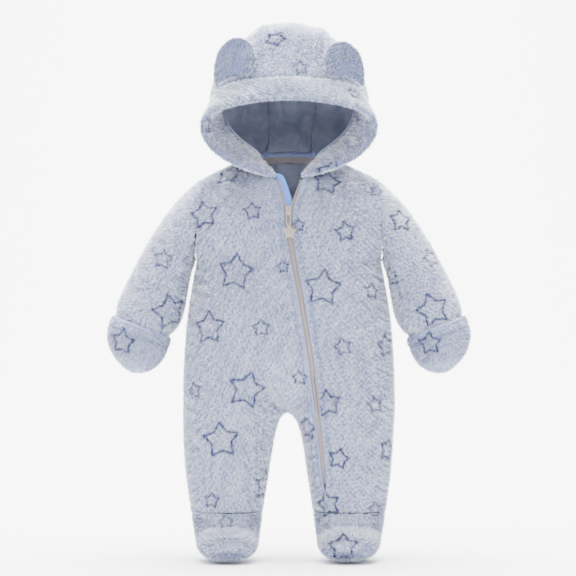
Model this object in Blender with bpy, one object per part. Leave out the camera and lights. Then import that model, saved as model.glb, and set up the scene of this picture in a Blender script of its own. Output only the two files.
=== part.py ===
"""Hooded plush baby snowsuit with fold-over mitts, footed legs and a slanting zip.

The suit is filled out as if worn: +Z is up, the front faces -Y and the wearer's left is +X. The
origin is the middle of the neck at the height of the shoulders. Sizes are in millimetres and
become metres when a mesh is made. Each panel is a wall of cloth whose outer face is the tip of
its pile, and panels that are sewn together share their seam points, less a hair's gap.
"""

import math
from collections import namedtuple

import bmesh
import bpy
import numpy as np
from mathutils import Matrix

MILLIMETRE = 0.001

# Cloth
PLUSH = 5.0          # backing and pile of the fleece
FOOT_PLUSH = 3.6     # the same on the feet, where the pile is pressed flatter
LINING = 1.5         # velour lining
TAPE = 1.0           # zip and neck tapes
SEAM_GAP = 0.38      # between two panels at their seam
LAYER_GAP = 0.8      # between a panel and what lies under it
FULLNESS = 2 / 2.35  # power that squares the body's round sections a little
LIMB_FULLNESS = 0.92 # the same for sleeves and mitts

# Body: how wide and deep the suit is at each height
Section = namedtuple("Section", "height half_width front back")
TORSO = (
    Section(-140, 132, 66, 60),
    Section(-175, 139, 70, 62),
    Section(-225, 146, 74, 65),
    Section(-265, 149, 75, 69),
    Section(-305, 151, 73, 73),
    Section(-352, 151, 66, 70),
)
CROTCH_HEIGHT = -352.0
CLEFT_HEIGHT = 115.0  # how far above the crotch the legs begin to part
CLEFT_POWER = 2.6
STRIP_TURN = 150.0    # over this height the strip beside the zip swings round to the inseam

Leg = namedtuple("Leg", "height outer_right inner_right inner_left outer_left front back")
LEGS = (
    Leg(-352, 151.0, 2.5, -2.5, 151.0, 66, 70),
    Leg(-356, 151.2, 8.5, 5.0, 150.6, 65, 68),
    Leg(-363, 151.2, 13.5, 10.5, 150.0, 64, 66),
    Leg(-378, 151.0, 17.0, 15.5, 149.2, 62, 63),
    Leg(-400, 150.4, 22.0, 20.0, 148.2, 59, 60),
    Leg(-430, 148.4, 26.2, 23.6, 146.2, 55, 55),
    Leg(-460, 144.8, 31.0, 28.5, 142.8, 50, 49),
    Leg(-490, 139.8, 36.0, 33.4, 138.0, 46, 43),
)
TORSO_HEIGHTS = (-140, -168, -196, -224, -252, -280, -304, -325, -341, -352)
LEG_HEIGHTS = (-352, -356, -363, -375, -394, -418, -443, -468, -490)

# Front opening: the zip's middle line, half the gap between the panels' edges, and its depth
Opening = namedtuple("Opening", "height middle half_gap forward")
ZIP_LINE = (
    Opening(-22, 1.0, 20.5, 63.0),
    Opening(-45, 0.3, 13.0, 66.0),
    Opening(-66, -0.8, 5.9, 68.0),
    Opening(-105, 1.8, 5.5, 67.5),
    Opening(-140, 7.4, 5.5, 66.0),
    Opening(-182, 16.0, 5.5, 66.0),
    Opening(-231, 24.0, 5.5, 66.0),
    Opening(-277, 31.5, 5.5, 66.0),
    Opening(-322, 36.5, 5.5, 66.0),
    Opening(-368, 40.5, 5.5, 66.0),
    Opening(-413, 44.5, 5.5, 66.0),
    Opening(-450, 48.5, 5.3, 66.0),
    Opening(-458, 49.2, 0.0, 66.0),
    Opening(-490, 52.0, 0.0, 66.0),
)
SLIDER_HEIGHT = -66.0
ZIP_END = -452.0

# Neck: distance from the middle of the neck, by the angle round it from the front
NECK_MIDDLE_Y = 2.0
Neck = namedtuple("Neck", "angle radius height")
NECK = (
    Neck(17, 67.5, -22),
    Neck(33, 68.5, -17),
    Neck(50, 72.0, -9),
    Neck(90, 84.0, 2),
    Neck(130, 76.0, 7),
    Neck(180, 56.0, 10),
)
NECK_FRONT, BRIM_START, NECK_SIDE, CENTRE_PANEL_BACK = 17, 50, 90, 148

# Armholes: from the shoulder point down to the armpit
Armhole = namedtuple("Armhole", "share x forward height")
ARMHOLE = (
    Armhole(0.0, 119.0, -4.0, -15.0),
    Armhole(0.2, 128.0, 25.0, -26.0),
    Armhole(0.45, 130.5, 44.0, -60.0),
    Armhole(0.7, 130.5, 45.0, -98.0),
    Armhole(0.88, 131.5, 25.0, -130.0),
    Armhole(1.0, 132.0, 0.0, -140.0),
)

# Sleeves: outer and inner edge of each section as seen from the front, and half its depth
Cuff = namedtuple("Cuff", "share outer_x outer_height inner_x inner_height half_depth")
SLEEVE = (
    Cuff(0.00, 119.0, -15.0, 132.0, -140.0, 46.0),
    Cuff(0.10, 137.0, -26.0, 137.4, -152.0, 48.0),
    Cuff(0.22, 164.0, -50.0, 139.0, -163.0, 48.5),
    Cuff(0.34, 184.0, -79.0, 141.0, -177.0, 47.5),
    Cuff(0.46, 203.0, -108.0, 142.9, -190.0, 46.0),
    Cuff(0.60, 219.5, -140.0, 145.2, -205.0, 44.5),
    Cuff(0.74, 233.0, -166.0, 148.0, -221.0, 43.0),
    Cuff(0.90, 247.8, -196.5, 158.5, -237.0, 41.5),
    Cuff(0.96, 249.3, -207.5, 164.6, -240.9, 39.5),
    Cuff(1.00, 246.1, -216.9, 172.4, -245.9, 36.0),
)
SLEEVE_SHARES = (0.0, 0.11, 0.22, 0.34, 0.46, 0.60, 0.74, 0.86, 0.95, 1.0)

# Mitts: sections along the hand, from the mouth to the tip
MITT_MOUTH = (208.5, -229.5)      # middle of the mouth, seen from the front
MITT_AXIS = (0.366, -0.9306)      # down the hand
MITT_CURL = 9.0                   # how far the tip turns in toward the body
Mitt = namedtuple("Mitt", "along half_width half_depth")
MITT = (
    Mitt(0.0, 46.8, 42.5),
    Mitt(14.0, 47.2, 42.5),
    Mitt(28.0, 45.5, 40.0),
    Mitt(42.0, 39.5, 34.0),
    Mitt(53.0, 30.5, 26.0),
    Mitt(60.5, 19.5, 16.5),
    Mitt(64.5, 9.0, 8.0),
    Mitt(66.0, 0.0, 0.0),
)
MITT_RINGS = (0.0, 10.0, 20.0, 31.0, 42.0, 52.0, 60.0, 64.3, 66.0)

# Feet: the bend at the ankle, then the sections forward to the toe
ANKLE_BEND = (-54.0, -498.0)      # y and height of the line that the sections turn about
Turn = namedtuple("Turn", "angle near far half_width")
FOOT_TURNS = (
    Turn(0, 8.0, 97.0, 56.0),
    Turn(22, 6.0, 92.0, 53.0),
    Turn(45, 7.0, 80.0, 49.5),
    Turn(68, 8.0, 68.0, 48.0),
    Turn(90, 9.0, 59.0, 46.5),
)
Toe = namedtuple("Toe", "forward top bottom half_width")
TOES = (
    Toe(15, -509.0, -557.5, 44.5),
    Toe(30, -513.5, -556.5, 40.5),
    Toe(42, -519.0, -553.5, 33.5),
    Toe(49, -525.5, -550.5, 25.5),
    Toe(54.5, -538.0, -538.0, 0.0),
)
HEEL_TURNS = 2                    # turns that the back panel covers before the sole begins
SOLE_DROP = math.radians(24)      # how far below the side the sole's seam runs at the toe
FOOT_LEAN = 4.0                   # how far the toes lie in toward the middle from the ankle

# Hood: a rounded form about its own middle
HOOD_MIDDLE = np.array((0.0, NECK_MIDDLE_Y, 85.0))
HOOD_SIDE, HOOD_FRONT, HOOD_BACK, HOOD_UP, HOOD_DOWN = 118.0, 86.0, 90.0, 126.0, 118.0
HOOD_POWER, DOME_POWER = 2.3, 1.85    # its squareness in depth, and as seen from the front
CROWN_SHIFT = 8.0                 # the hood sits turned a little to the wearer's left
Crown = namedtuple("Crown", "turn half_width")
CENTRE_PANEL = (
    Crown(28, 46.0),
    Crown(90, 50.0),
    Crown(160, 44.0),
    Crown(233, 30.0),
)

# Brim: its seam to the hood, its folded lip and the edge of its facing, from neck to forehead
Brim = namedtuple("Brim", "share seam_x seam_y seam_z lip_x lip_y lip_z face_x face_y face_z")
BRIM = (
    Brim(0.00, 55, -44, -9, 20.5, -65, -22, 33, -44, -1),
    Brim(0.10, 72, -38, 0, 44, -74, -13, 38, -43, 11),
    Brim(0.22, 90, -33, 14, 76, -76, -1, 57, -41, 25),
    Brim(0.34, 102, -32, 34, 105, -72, 13, 75, -41, 40),
    Brim(0.46, 109, -33, 58, 122, -70, 33, 88, -36, 58),
    Brim(0.58, 111, -34, 82, 126, -76, 55, 93, -34, 78),
    Brim(0.70, 107, -40, 104, 114, -91, 70, 90, -38, 94),
    Brim(0.80, 88, -56, 116, 86, -104, 78, 73, -51, 104),
    Brim(0.90, 47, -76, 121, 46, -111, 84, 40, -63, 108),
    Brim(1.00, 0, -83, 124, 0, -113, 87, 0, -67, 110),
)
BRIM_FULLNESS = 0.66
BRIM_OUTER, BRIM_INNER = 5, 5     # columns from seam to lip, and from lip to facing edge
BRIM_END_LIFT = 3.0               # the facing's end clears the front panels' neck edge

# Ears: cupped, sewn into the brim's seam
Ear = namedtuple("Ear", "name side middle_x half_width height")
EARS = (
    Ear("ear_right", -1, 75.0, 31.0, 59.0),
    Ear("ear_left", 1, 77.0, 30.0, 54.0),
)
EAR_WIDEST, EAR_FOOT = 0.42, 0.80 # share of its height, and the foot's share of the full width
EAR_TURN = 0.6                    # how far the top turns in over the brow
EAR_THICKNESS, EAR_CUP, EAR_STAND = 8.0, 11.0, 0.9
EAR_TOP_Y = -66.0
EAR_CUP_TURN = math.radians(144)  # the cup is deepest part way up
EAR_COLUMNS, EAR_ROWS = 10, 8

# Zip: how deep the tapes lie, how far they show and how far they run under the panels
TAPE_DEPTH, TAPE_SHOWS, TAPE_HIDDEN, TAPE_MEETING = 7.2, 5.1, 5.0, 0.7
SLIDER_SIZE = (8.6, 4.2, 12.0)
BAIL_RADIUS, BAIL_WIRE = 5.7, 0.75
HINGE_HEIGHT = SLIDER_HEIGHT - 3.4
RING_LENGTH, RING_HALF_WIDTH, RING_WIRE = 18.5, 3.0, 0.8
PULL_CLEARANCE, RING_BACK = 1.2, 0.5   # star to cloth, and the ring's plane behind the star's
STAR_RADIUS, STAR_WAIST, STAR_THICKNESS = 11.0, 6.2, 2.2
STAR_PLACE = (0.9, -96.5)         # middle of the star, seen from the front
Guard = namedtuple("Guard", "height right left")
GUARD = (
    Guard(-14.5, -16.5, -12.5),
    Guard(-17.0, -20.0, -8.5),
    Guard(-22.0, -23.0, -5.0),
    Guard(-30.0, -23.0, -2.0),
    Guard(-46.0, -19.0, 3.2),
    Guard(-64.0, -12.0, 6.0),
    Guard(-90.0, -8.0, 8.0),
)
GUARD_THICKNESS = 1.6

# Inside the hood and the back
HOOD_LINING_DEPTH = 11.5          # from the hood's outer face to the lining's face
BACK_LINING_DEPTH = 7.8
BACK_LINING_DROP, BACK_LINING_HALF, BACK_LINING_ANGLE = -115.0, 74.0, 104.0
NECK_TAPE_ANGLE, NECK_TAPE_LOW, NECK_TAPE_HIGH = 128.0, -5.0, 4.4
BACK_COLUMNS, BACK_ROWS = 12, 5
LINING_BELOW = 3.0                # from the neck seam down to the back lining
LINING_LIFT, LINING_STEP = 5.0, 2.2   # from the lining's edges to the neck seam and the facing
LINING_LOW_SHARE, LINING_LOW_STEP = 0.32, 3.5   # it steps back this much more at the facing's foot

# Columns of each panel
SHOULDER_COLUMNS, HOOD_FRONT_COLUMNS, HOOD_BACK_COLUMNS, CENTRE_COLUMNS = 4, 5, 6, 3
RIGHT_LEG_COLUMNS, INNER_STRIP_COLUMNS = 10, 4
YOKE_ROWS, HOOD_ROWS = 9, 9

# Largest folds: soft troughs between two points seen from the front or the back
Fold = namedtuple("Fold", "side x1 z1 x2 z2 width depth")
FOLDS = (
    Fold("front", -100, -122, -134, -165, 17, 4.5),
    Fold("front", 100, -118, 136, -160, 17, 4.5),
    Fold("front", -178, -128, -150, -178, 15, 3.5),
    Fold("front", 176, -120, 152, -176, 15, 4.0),
    Fold("front", -226, -168, -180, -196, 13, 3.5),
    Fold("front", 222, -160, 178, -192, 13, 3.5),
    Fold("front", -75, -316, -15, -340, 20, 2.5),
    Fold("front", 130, -316, 78, -336, 18, 2.5),
    Fold("front", -130, -452, -60, -466, 15, 3.5),
    Fold("front", 78, -466, 138, -452, 15, 3.5),
    Fold("back", -95, -120, -135, -160, 18, 4.5),
    Fold("back", 95, -122, 135, -162, 18, 4.5),
    Fold("back", -90, -250, 85, -262, 24, 4.0),
    Fold("back", -110, -395, -45, -406, 16, 4.0),
    Fold("back", 45, -402, 112, -392, 16, 4.0),
)

COLOURS = {
    "plush": ((0.55, 0.61, 0.76), 0.95, 0.0),
    "ear_plush": ((0.42, 0.47, 0.62), 0.95, 0.0),
    "velour": ((0.22, 0.24, 0.32), 0.9, 0.0),
    "zip_tape": ((0.52, 0.49, 0.48), 0.8, 0.0),
    "neck_tape": ((0.33, 0.30, 0.31), 0.85, 0.0),
    "zip_guard": ((0.21, 0.36, 0.66), 0.85, 0.0),
    "zip_metal": ((0.66, 0.62, 0.55), 0.35, 1.0),
}


def table_at(table, key):
    """A table's other columns at this value of its first one, on a smooth curve through its rows."""
    rows = np.array(sorted(table), float)
    keys, values = rows[:, 0], rows[:, 1:]
    slopes = np.gradient(values, keys, axis=0)
    low = int(np.clip(np.searchsorted(keys, key) - 1, 0, len(keys) - 2))
    span = keys[low + 1] - keys[low]
    t = min(max((key - keys[low]) / span, 0.0), 1.0)
    start = (1 + 2 * t) * (1 - t) ** 2 * values[low] + t * (1 - t) ** 2 * span * slopes[low]
    end = t * t * (3 - 2 * t) * values[low + 1] + t * t * (t - 1) * span * slopes[low + 1]
    return start + end


def straight_at(table, key):
    """The same, on straight lines between the rows."""
    rows = np.array(sorted(table), float)
    return np.array([np.interp(key, rows[:, 0], column) for column in rows[:, 1:].T])


def squared(angle, power=FULLNESS):
    """Cosine and sine of an angle on a round section that is a little squared."""
    c, s = math.cos(angle), math.sin(angle)
    return math.copysign(abs(c) ** power, c), math.copysign(abs(s) ** power, s)


def soft_step(t):
    t = min(max(t, 0.0), 1.0)
    return t * t * (3 - 2 * t)


def coons(bottom, top, left, right):
    """A patch of points between four edges; bottom and top run the way of its columns."""
    bottom, top, left, right = (np.array(edge, float) for edge in (bottom, top, left, right))
    u = np.linspace(0, 1, len(bottom))[None, :, None]
    v = np.linspace(0, 1, len(left))[:, None, None]
    ruled = (1 - v) * bottom[None] + v * top[None] + (1 - u) * left[:, None] + u * right[:, None]
    corners = (1 - v) * ((1 - u) * bottom[0] + u * bottom[-1]) + v * ((1 - u) * top[0] + u * top[-1])
    return ruled - corners


# --- the body's surface -------------------------------------------------------------------------

def body_point(height, across, side):
    """A point of the body. across runs 0 to 1 over the wearer's right half and on to 2 over the
    left; side is -1 on the front and 1 on the back."""
    below = height <= CROTCH_HEIGHT
    leg = table_at(LEGS, min(height, CROTCH_HEIGHT))
    outer_right, inner_right, inner_left, outer_left, leg_front, leg_back = leg
    if not below:
        half_width, front, back = table_at(TORSO, height)
        outer_right = outer_left = half_width
        leg_front, leg_back = front, back
    leg_depth = leg_front if side < 0 else leg_back
    if across <= 1:
        outside, inside, turn = -outer_right, -inner_right, across * math.pi
    else:
        outside, inside, turn = outer_left, inner_left, (2 - across) * math.pi
    c, s = squared(turn)
    middle, half = (outside + inside) / 2, (outside - inside) / 2
    on_leg = np.array((middle + half * c, side * leg_depth * s, height))
    if below:
        return on_leg
    c, s = squared(across * math.pi / 2)
    on_torso = np.array((-half_width * c, side * leg_depth * s, height))
    parting = max(0.0, 1 - (height - CROTCH_HEIGHT) / CLEFT_HEIGHT) ** CLEFT_POWER
    return on_torso + (on_leg - on_torso) * parting


LEFT_INSEAM = 1.0 + 1e-9   # across, where the wearer's left leg begins


def across_at(height, x):
    """Where on the front, 0 to 2, the body is this far to the side."""
    low, high = (0.0, 2.0) if height > CROTCH_HEIGHT else (1.0, 2.0)
    for _ in range(40):
        middle = (low + high) / 2
        if body_point(height, middle, -1)[0] < x:
            low = middle
        else:
            high = middle
    return (low + high) / 2


def neck_point(angle, side):
    """A point of the neck seam at this angle from the front; side is -1 on the wearer's right."""
    radius, height = table_at(NECK, angle)
    turn = math.radians(angle)
    return np.array((side * radius * math.sin(turn), NECK_MIDDLE_Y - radius * math.cos(turn), height))


def armhole_point(share, side, face):
    """A point of the armhole seam, from the shoulder at 0 to the armpit at 1."""
    x, forward, height = table_at(ARMHOLE, share)
    if share in (0.0, 1.0):
        return np.array((side * x, -forward if share == 0.0 else 0.0, height))
    return np.array((side * x, face * forward, height))


def steps(start, end, count):
    return [start + (end - start) * i / count for i in range(count + 1)]


def top_edge(side, angles):
    """The shoulder seam from the armhole to the neck, then the neck seam at the given angles."""
    tip, base = armhole_point(0.0, side, -1), neck_point(NECK_SIDE, side)
    shoulder = [tip + (base - tip) * i / SHOULDER_COLUMNS for i in range(SHOULDER_COLUMNS)]
    return shoulder + [neck_point(angle, side) for angle in angles]


HOOD_FRONT_ANGLES = steps(NECK_SIDE, BRIM_START, HOOD_FRONT_COLUMNS)
BRIM_ANGLES = steps(BRIM_START, NECK_FRONT, BRIM_OUTER)
HOOD_BACK_ANGLES = steps(NECK_SIDE, CENTRE_PANEL_BACK, HOOD_BACK_COLUMNS)
CENTRE_ANGLES = steps(CENTRE_PANEL_BACK, 180, CENTRE_COLUMNS)


def front_edge(height, side):
    """The edge of a front panel beside the zip."""
    middle, half_gap, forward = straight_at(ZIP_LINE, height)
    x = middle + side * half_gap
    if height > TORSO_HEIGHTS[0]:
        return np.array((x, -forward, height))
    return body_point(height, across_at(height, x), -1)


def front_rows(heights, side):
    """The rows of a front panel below the armpit, each from its side seam to the zip."""
    columns = RIGHT_LEG_COLUMNS + INNER_STRIP_COLUMNS
    rows = []
    for height in heights:
        middle, half_gap, _ = straight_at(ZIP_LINE, height)
        zip_at = across_at(height, middle + side * half_gap)
        if side > 0:
            turns = steps(2.0, zip_at, columns)
        else:
            nearness = soft_step(1 - (height - CROTCH_HEIGHT) / STRIP_TURN)
            even = zip_at * RIGHT_LEG_COLUMNS / columns
            parting = even + (LEFT_INSEAM - even) * nearness
            turns = steps(0.0, parting, RIGHT_LEG_COLUMNS)
            turns += steps(parting, zip_at, INNER_STRIP_COLUMNS)[1:]
        rows.append([body_point(height, turn, -1) for turn in turns])
    return rows


def yoke(bottom, side, face, edge, angles):
    """The patch of a panel from the armpit up to the shoulder and neck seams."""
    armhole = [armhole_point(1 - i / YOKE_ROWS, side, face) for i in range(YOKE_ROWS + 1)]
    return coons(bottom, top_edge(side, angles), armhole, edge)


def front_panels():
    """Grids of the two front panels."""
    panels = {}
    top_height = neck_point(NECK_FRONT, 1)[2]
    for name, side in (("front_right", -1), ("front_left", 1)):
        torso = front_rows(TORSO_HEIGHTS, side)
        edge = [front_edge(z, side) for z in steps(TORSO_HEIGHTS[0], top_height, YOKE_ROWS)]
        edge[0], edge[-1] = torso[0][-1], neck_point(NECK_FRONT, side)
        upper = yoke(torso[0], side, -1, edge, HOOD_FRONT_ANGLES + BRIM_ANGLES[1:])
        grids = [upper[::-1], np.array(torso)]
        legs = front_rows(LEG_HEIGHTS[1:], side)
        if side > 0:
            grids.append(np.array([torso[-1]] + legs))
        else:
            split = RIGHT_LEG_COLUMNS
            grids.append(np.array([torso[-1][:split + 1]] + [row[:split + 1] for row in right_leg()]))
            grids.append(np.array([torso[-1][split:]] + [row[split:] for row in legs]))
        panels[name] = [(grid, side > 0) for grid in grids]
    return panels


def right_leg():
    """The rows of the wearer's right leg on the front, from side seam to inner seam."""
    turns = steps(0.0, 1.0, RIGHT_LEG_COLUMNS)
    return [[body_point(height, turn, -1) for turn in turns] for height in LEG_HEIGHTS[1:]]


def back_panel():
    """Grids of the back, which is one piece with both legs and the heels."""
    half = SHOULDER_COLUMNS + HOOD_BACK_COLUMNS + CENTRE_COLUMNS
    turns = steps(0.0, 1.0, half), steps(2.0, LEFT_INSEAM, half)
    spine = [np.array((0, y, z)) for y, z in zip(
        steps(body_point(TORSO_HEIGHTS[0], 1.0, 1)[1], neck_point(180, 1)[1], YOKE_ROWS),
        steps(TORSO_HEIGHTS[0], neck_point(180, 1)[2], YOKE_ROWS))]
    grids = []
    for side, turn in zip((-1, 1), turns):
        torso = [[body_point(height, t, 1) for t in turn] for height in TORSO_HEIGHTS]
        upper = yoke(torso[0], side, 1, spine, HOOD_BACK_ANGLES + CENTRE_ANGLES[1:])
        name = "right" if side < 0 else "left"
        legs = [torso[-1]] + [[body_point(height, t, 1) for t in turn] for height in LEG_HEIGHTS[1:]]
        legs += [foot_ring(name, i, "sole", half) for i in range(1, HEEL_TURNS + 1)]
        grids += [(upper[::-1], side < 0), (np.array(torso), side < 0), (np.array(legs), side < 0)]
    return grids


# --- the feet -----------------------------------------------------------------------------------

def foot_ring(side, index, piece, columns, turns=None):
    """A foot's section from its outer seam to its inner one, over the top or under the sole."""
    leg = table_at(LEGS, LEG_HEIGHTS[-1])
    outer, inner = (-leg[0], -leg[1]) if side == "right" else (leg[3], leg[2])
    sections = len(FOOT_TURNS) + len(TOES) - 1
    share = index / sections
    middle = (outer + inner) / 2 - math.copysign(FOOT_LEAN, outer) * share
    if index < len(FOOT_TURNS):
        turn = FOOT_TURNS[index]
        slope = math.radians(turn.angle)
        along = np.array((0, math.cos(slope), -math.sin(slope)))
        pivot = np.array((0, *ANKLE_BEND))
        near, far = pivot + along * turn.near, pivot + along * turn.far
        half_width = turn.half_width * abs(outer - inner) / 2 / FOOT_TURNS[0].half_width
    else:
        toe = TOES[index - len(FOOT_TURNS)]
        y = ANKLE_BEND[0] - toe.forward
        near, far = np.array((0, y, toe.top)), np.array((0, y, toe.bottom))
        half_width = toe.half_width * abs(outer - inner) / 2 / FOOT_TURNS[0].half_width
    centre, reach = (near + far) / 2, (near - far) / 2
    drop = SOLE_DROP * soft_step((share - 0.2) / 0.5)
    face = 1 if piece == "top" else -1
    points = []
    for t in turns or steps(0.0, 1.0, columns):
        low = -drop if piece == "top" else drop
        angle = low + (math.pi - 2 * low) * t
        c, s = squared(angle)
        x = middle + math.copysign(half_width, outer) * c
        points.append(centre + reach * s * face + np.array((x, 0, 0)))
    return points


def foot_panels():
    """Grids of each foot's top piece and sole."""
    panels = {}
    sections = len(FOOT_TURNS) + len(TOES)
    half = SHOULDER_COLUMNS + HOOD_BACK_COLUMNS + CENTRE_COLUMNS
    ankle = LEG_HEIGHTS[-1]
    strip, left = (front_rows((ankle,), side)[0] for side in (-1, 1))
    inner_to_zip = strip[RIGHT_LEG_COLUMNS:]
    rows = {"right": right_leg()[-1], "left": left + inner_to_zip[::-1][1:]}
    for side, top_row in rows.items():
        outside, inside = top_row[0][0], top_row[-1][0]
        turns = [turn_of((p[0] - (outside + inside) / 2) / ((outside - inside) / 2)) for p in top_row]
        top = [top_row] + [foot_ring(side, i, "top", 0, turns) for i in range(1, sections)]
        sole = [foot_ring(side, i, "sole", half) for i in range(HEEL_TURNS, sections)]
        panels["foot_top_" + side] = [(np.array(top), side == "left")]
        panels["sole_" + side] = [(np.array(sole), side == "right")]
    return panels


def turn_of(cosine):
    """The share of a half turn at which a squared section is this far across, from 1 to -1."""
    c = math.copysign(min(abs(cosine), 1.0) ** (1 / FULLNESS), cosine)
    return math.acos(c) / math.pi


# --- sleeves and mitts --------------------------------------------------------------------------

def sleeve_ring(share, side):
    """A section of the sleeve: down its front from the outer edge, and up its back."""
    if share == 0.0:
        front = [armhole_point(i / YOKE_ROWS, side, -1) for i in range(YOKE_ROWS + 1)]
        back = [armhole_point(1 - i / YOKE_ROWS, side, 1) for i in range(1, YOKE_ROWS)]
        return front + back
    outer_x, outer_z, inner_x, inner_z, half_depth = table_at(SLEEVE, share)
    outer, inner = np.array((side * outer_x, 0, outer_z)), np.array((side * inner_x, 0, inner_z))
    middle, reach = (outer + inner) / 2, (outer - inner) / 2
    points = []
    for i in range(2 * YOKE_ROWS):
        c, s = squared(math.pi * i / YOKE_ROWS, LIMB_FULLNESS)
        points.append(middle + reach * c + np.array((0, -half_depth * s, 0)))
    return points


def mitt_ring(along, side):
    half_width, half_depth = table_at(MITT, along)
    axis = np.array((side * MITT_AXIS[0], 0, MITT_AXIS[1]))
    outward = np.array((-side * MITT_AXIS[1], 0, MITT_AXIS[0]))
    middle = np.array((side * MITT_MOUTH[0], 0, MITT_MOUTH[1])) + axis * along
    middle = middle - outward * MITT_CURL * (along / MITT[-1].along) ** 2
    if half_width < 0.5:
        return [middle] * (2 * YOKE_ROWS)
    points = []
    for i in range(2 * YOKE_ROWS):
        c, s = squared(math.pi * i / YOKE_ROWS, LIMB_FULLNESS)
        points.append(middle + outward * half_width * c + np.array((0, -half_depth * s, 0)))
    return points


def ringed(rings):
    """Rings as a grid whose last column repeats its first."""
    return np.array([list(ring) + [ring[0]] for ring in rings])


# --- the hood -----------------------------------------------------------------------------------

def hood_reach(direction):
    """How far the hood's rounded form lies from its middle this way."""
    x, y, z = direction
    side = abs(x) / HOOD_SIDE
    depth = abs(y) / (HOOD_FRONT if y < 0 else HOOD_BACK)
    rise = abs(z) / (HOOD_UP if z > 0 else HOOD_DOWN)
    outline = (side ** DOME_POWER + rise ** DOME_POWER) ** (1 / DOME_POWER)
    return (outline ** HOOD_POWER + depth ** HOOD_POWER) ** (-1 / HOOD_POWER)


def on_hood(direction, inset=0.0):
    """The hood's point this way from its middle, drawn in to the neck seam at the bottom."""
    direction = np.array(direction, float)
    direction /= np.linalg.norm(direction)
    reach = hood_reach(direction)
    angle = math.degrees(math.atan2(abs(direction[0]), -direction[1]))
    neck = neck_point(max(angle, BRIM_START), 1) - HOOD_MIDDLE
    length = np.linalg.norm(neck)
    slope = direction[2]
    neck_slope = neck[2] / length
    share = soft_step((slope + 0.1) / (neck_slope + 0.1)) if slope < -0.1 else 0.0
    reach *= 1 + (length / hood_reach(neck / length) - 1) * share
    return HOOD_MIDDLE + direction * (reach - inset)


def centre_seam(side):
    """Directions along the seam of the hood's centre panel, from the brim to the neck."""
    count = HOOD_FRONT_COLUMNS + HOOD_BACK_COLUMNS
    start, end = brim_row(centre_share(), side)["seam"], neck_point(CENTRE_PANEL_BACK, side)
    ways = []
    for i in range(count + 1):
        turn = math.radians(CENTRE_PANEL[0].turn + (CENTRE_PANEL[-1].turn - CENTRE_PANEL[0].turn) * i / count)
        way = np.array((0, -math.cos(turn), math.sin(turn)))
        (half_width,) = table_at(CENTRE_PANEL, math.degrees(turn))
        shift = CROWN_SHIFT * math.sin(math.pi * i / count)
        way = way * np.linalg.norm(on_hood(way) - HOOD_MIDDLE)
        ways.append(way + np.array((side * half_width + shift, 0, 0)))
    ways[0], ways[-1] = start - HOOD_MIDDLE, end - HOOD_MIDDLE
    return [way / np.linalg.norm(way) for way in ways]


def centre_share():
    """Where along the brim the centre panel's seam meets it."""
    return BRIM[-2].share


def brim_row(share, side):
    """The brim's seam, lip and facing edge at one place along it."""
    row = table_at(BRIM, share)
    row = row * np.array((side, 1, 1) * 3)
    seam = on_hood(row[0:3] - HOOD_MIDDLE)
    if share == 0.0:
        seam = neck_point(BRIM_START, side)
    return {"seam": seam, "lip": row[3:6], "face": row[6:9]}


def brim_shares():
    return steps(0.0, centre_share(), HOOD_ROWS), steps(centre_share(), 1.0, CENTRE_COLUMNS)


def hood_panels(lining=False):
    """Grids of the hood's two sides and its centre panel, or of the lining inside them."""
    inset, edge = (HOOD_LINING_DEPTH, "face") if lining else (0.0, "seam")
    lift = np.array((0, 0, LINING_LIFT if lining else 0.0))
    shares, crown_shares = brim_shares()
    angles = HOOD_FRONT_ANGLES[::-1] + HOOD_BACK_ANGLES[1:]
    sides, crown = [], []
    panels = {}
    for name, side in (("right", -1), ("left", 1)):
        front = [hood_edge(share, side, edge) for share in shares]
        neck = [neck_point(angle, side) + lift for angle in angles]
        if lining:
            neck[0] = front[0]
        else:
            front[0] = neck[0]
        bottom, left = ways_to(neck), ways_to(front)
        top = centre_seam(side)
        top[0], top[-1] = left[-1], bottom[-1]
        patch = coons(bottom, top, left, [bottom[-1]] * len(left))
        grid = [[on_hood(way, inset) for way in row] for row in patch]
        if not lining:
            grid[0] = neck
        for row, point in zip(grid, front):
            row[0] = point
            row[-1] = grid[0][-1]
        panels["side_" + name] = [(np.array(grid), side > 0)]
        sides.append(grid[-1])
        crown.append([hood_edge(share, side, edge) for share in crown_shares])
    brow = crown[0] + crown[1][::-1][1:]
    nape = [neck_point(a, -1) for a in CENTRE_ANGLES] + [neck_point(a, 1) for a in CENTRE_ANGLES[::-1][1:]]
    patch = coons(ways_to(brow), ways_to(np.array(nape) + lift), ways_to(sides[0]), ways_to(sides[1]))
    grid = [[on_hood(way, inset) for way in row] for row in patch]
    for row, first, last in zip(grid, *sides):
        row[0], row[-1] = first, last
    grid[0][1:-1] = brow[1:-1]
    if not lining:
        grid[-1][1:-1] = nape[1:-1]
    panels["centre"] = [(np.array(grid), True)]
    return panels


def hood_edge(share, side, edge):
    """The hood's front edge at the brim's seam, or its lining's a little behind the facing."""
    row = brim_row(share, side)
    if edge == "seam":
        return row["seam"]
    low = max(0.0, 1 - share / LINING_LOW_SHARE)
    return row["face"] + unit(row["face"] - row["lip"]) * (LINING_STEP + LINING_LOW_STEP * low)


def ways_to(points):
    """Directions from the hood's middle to these points."""
    return [unit(np.array(point) - HOOD_MIDDLE) for point in points]


def unit(way):
    return way / np.linalg.norm(way)


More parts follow.
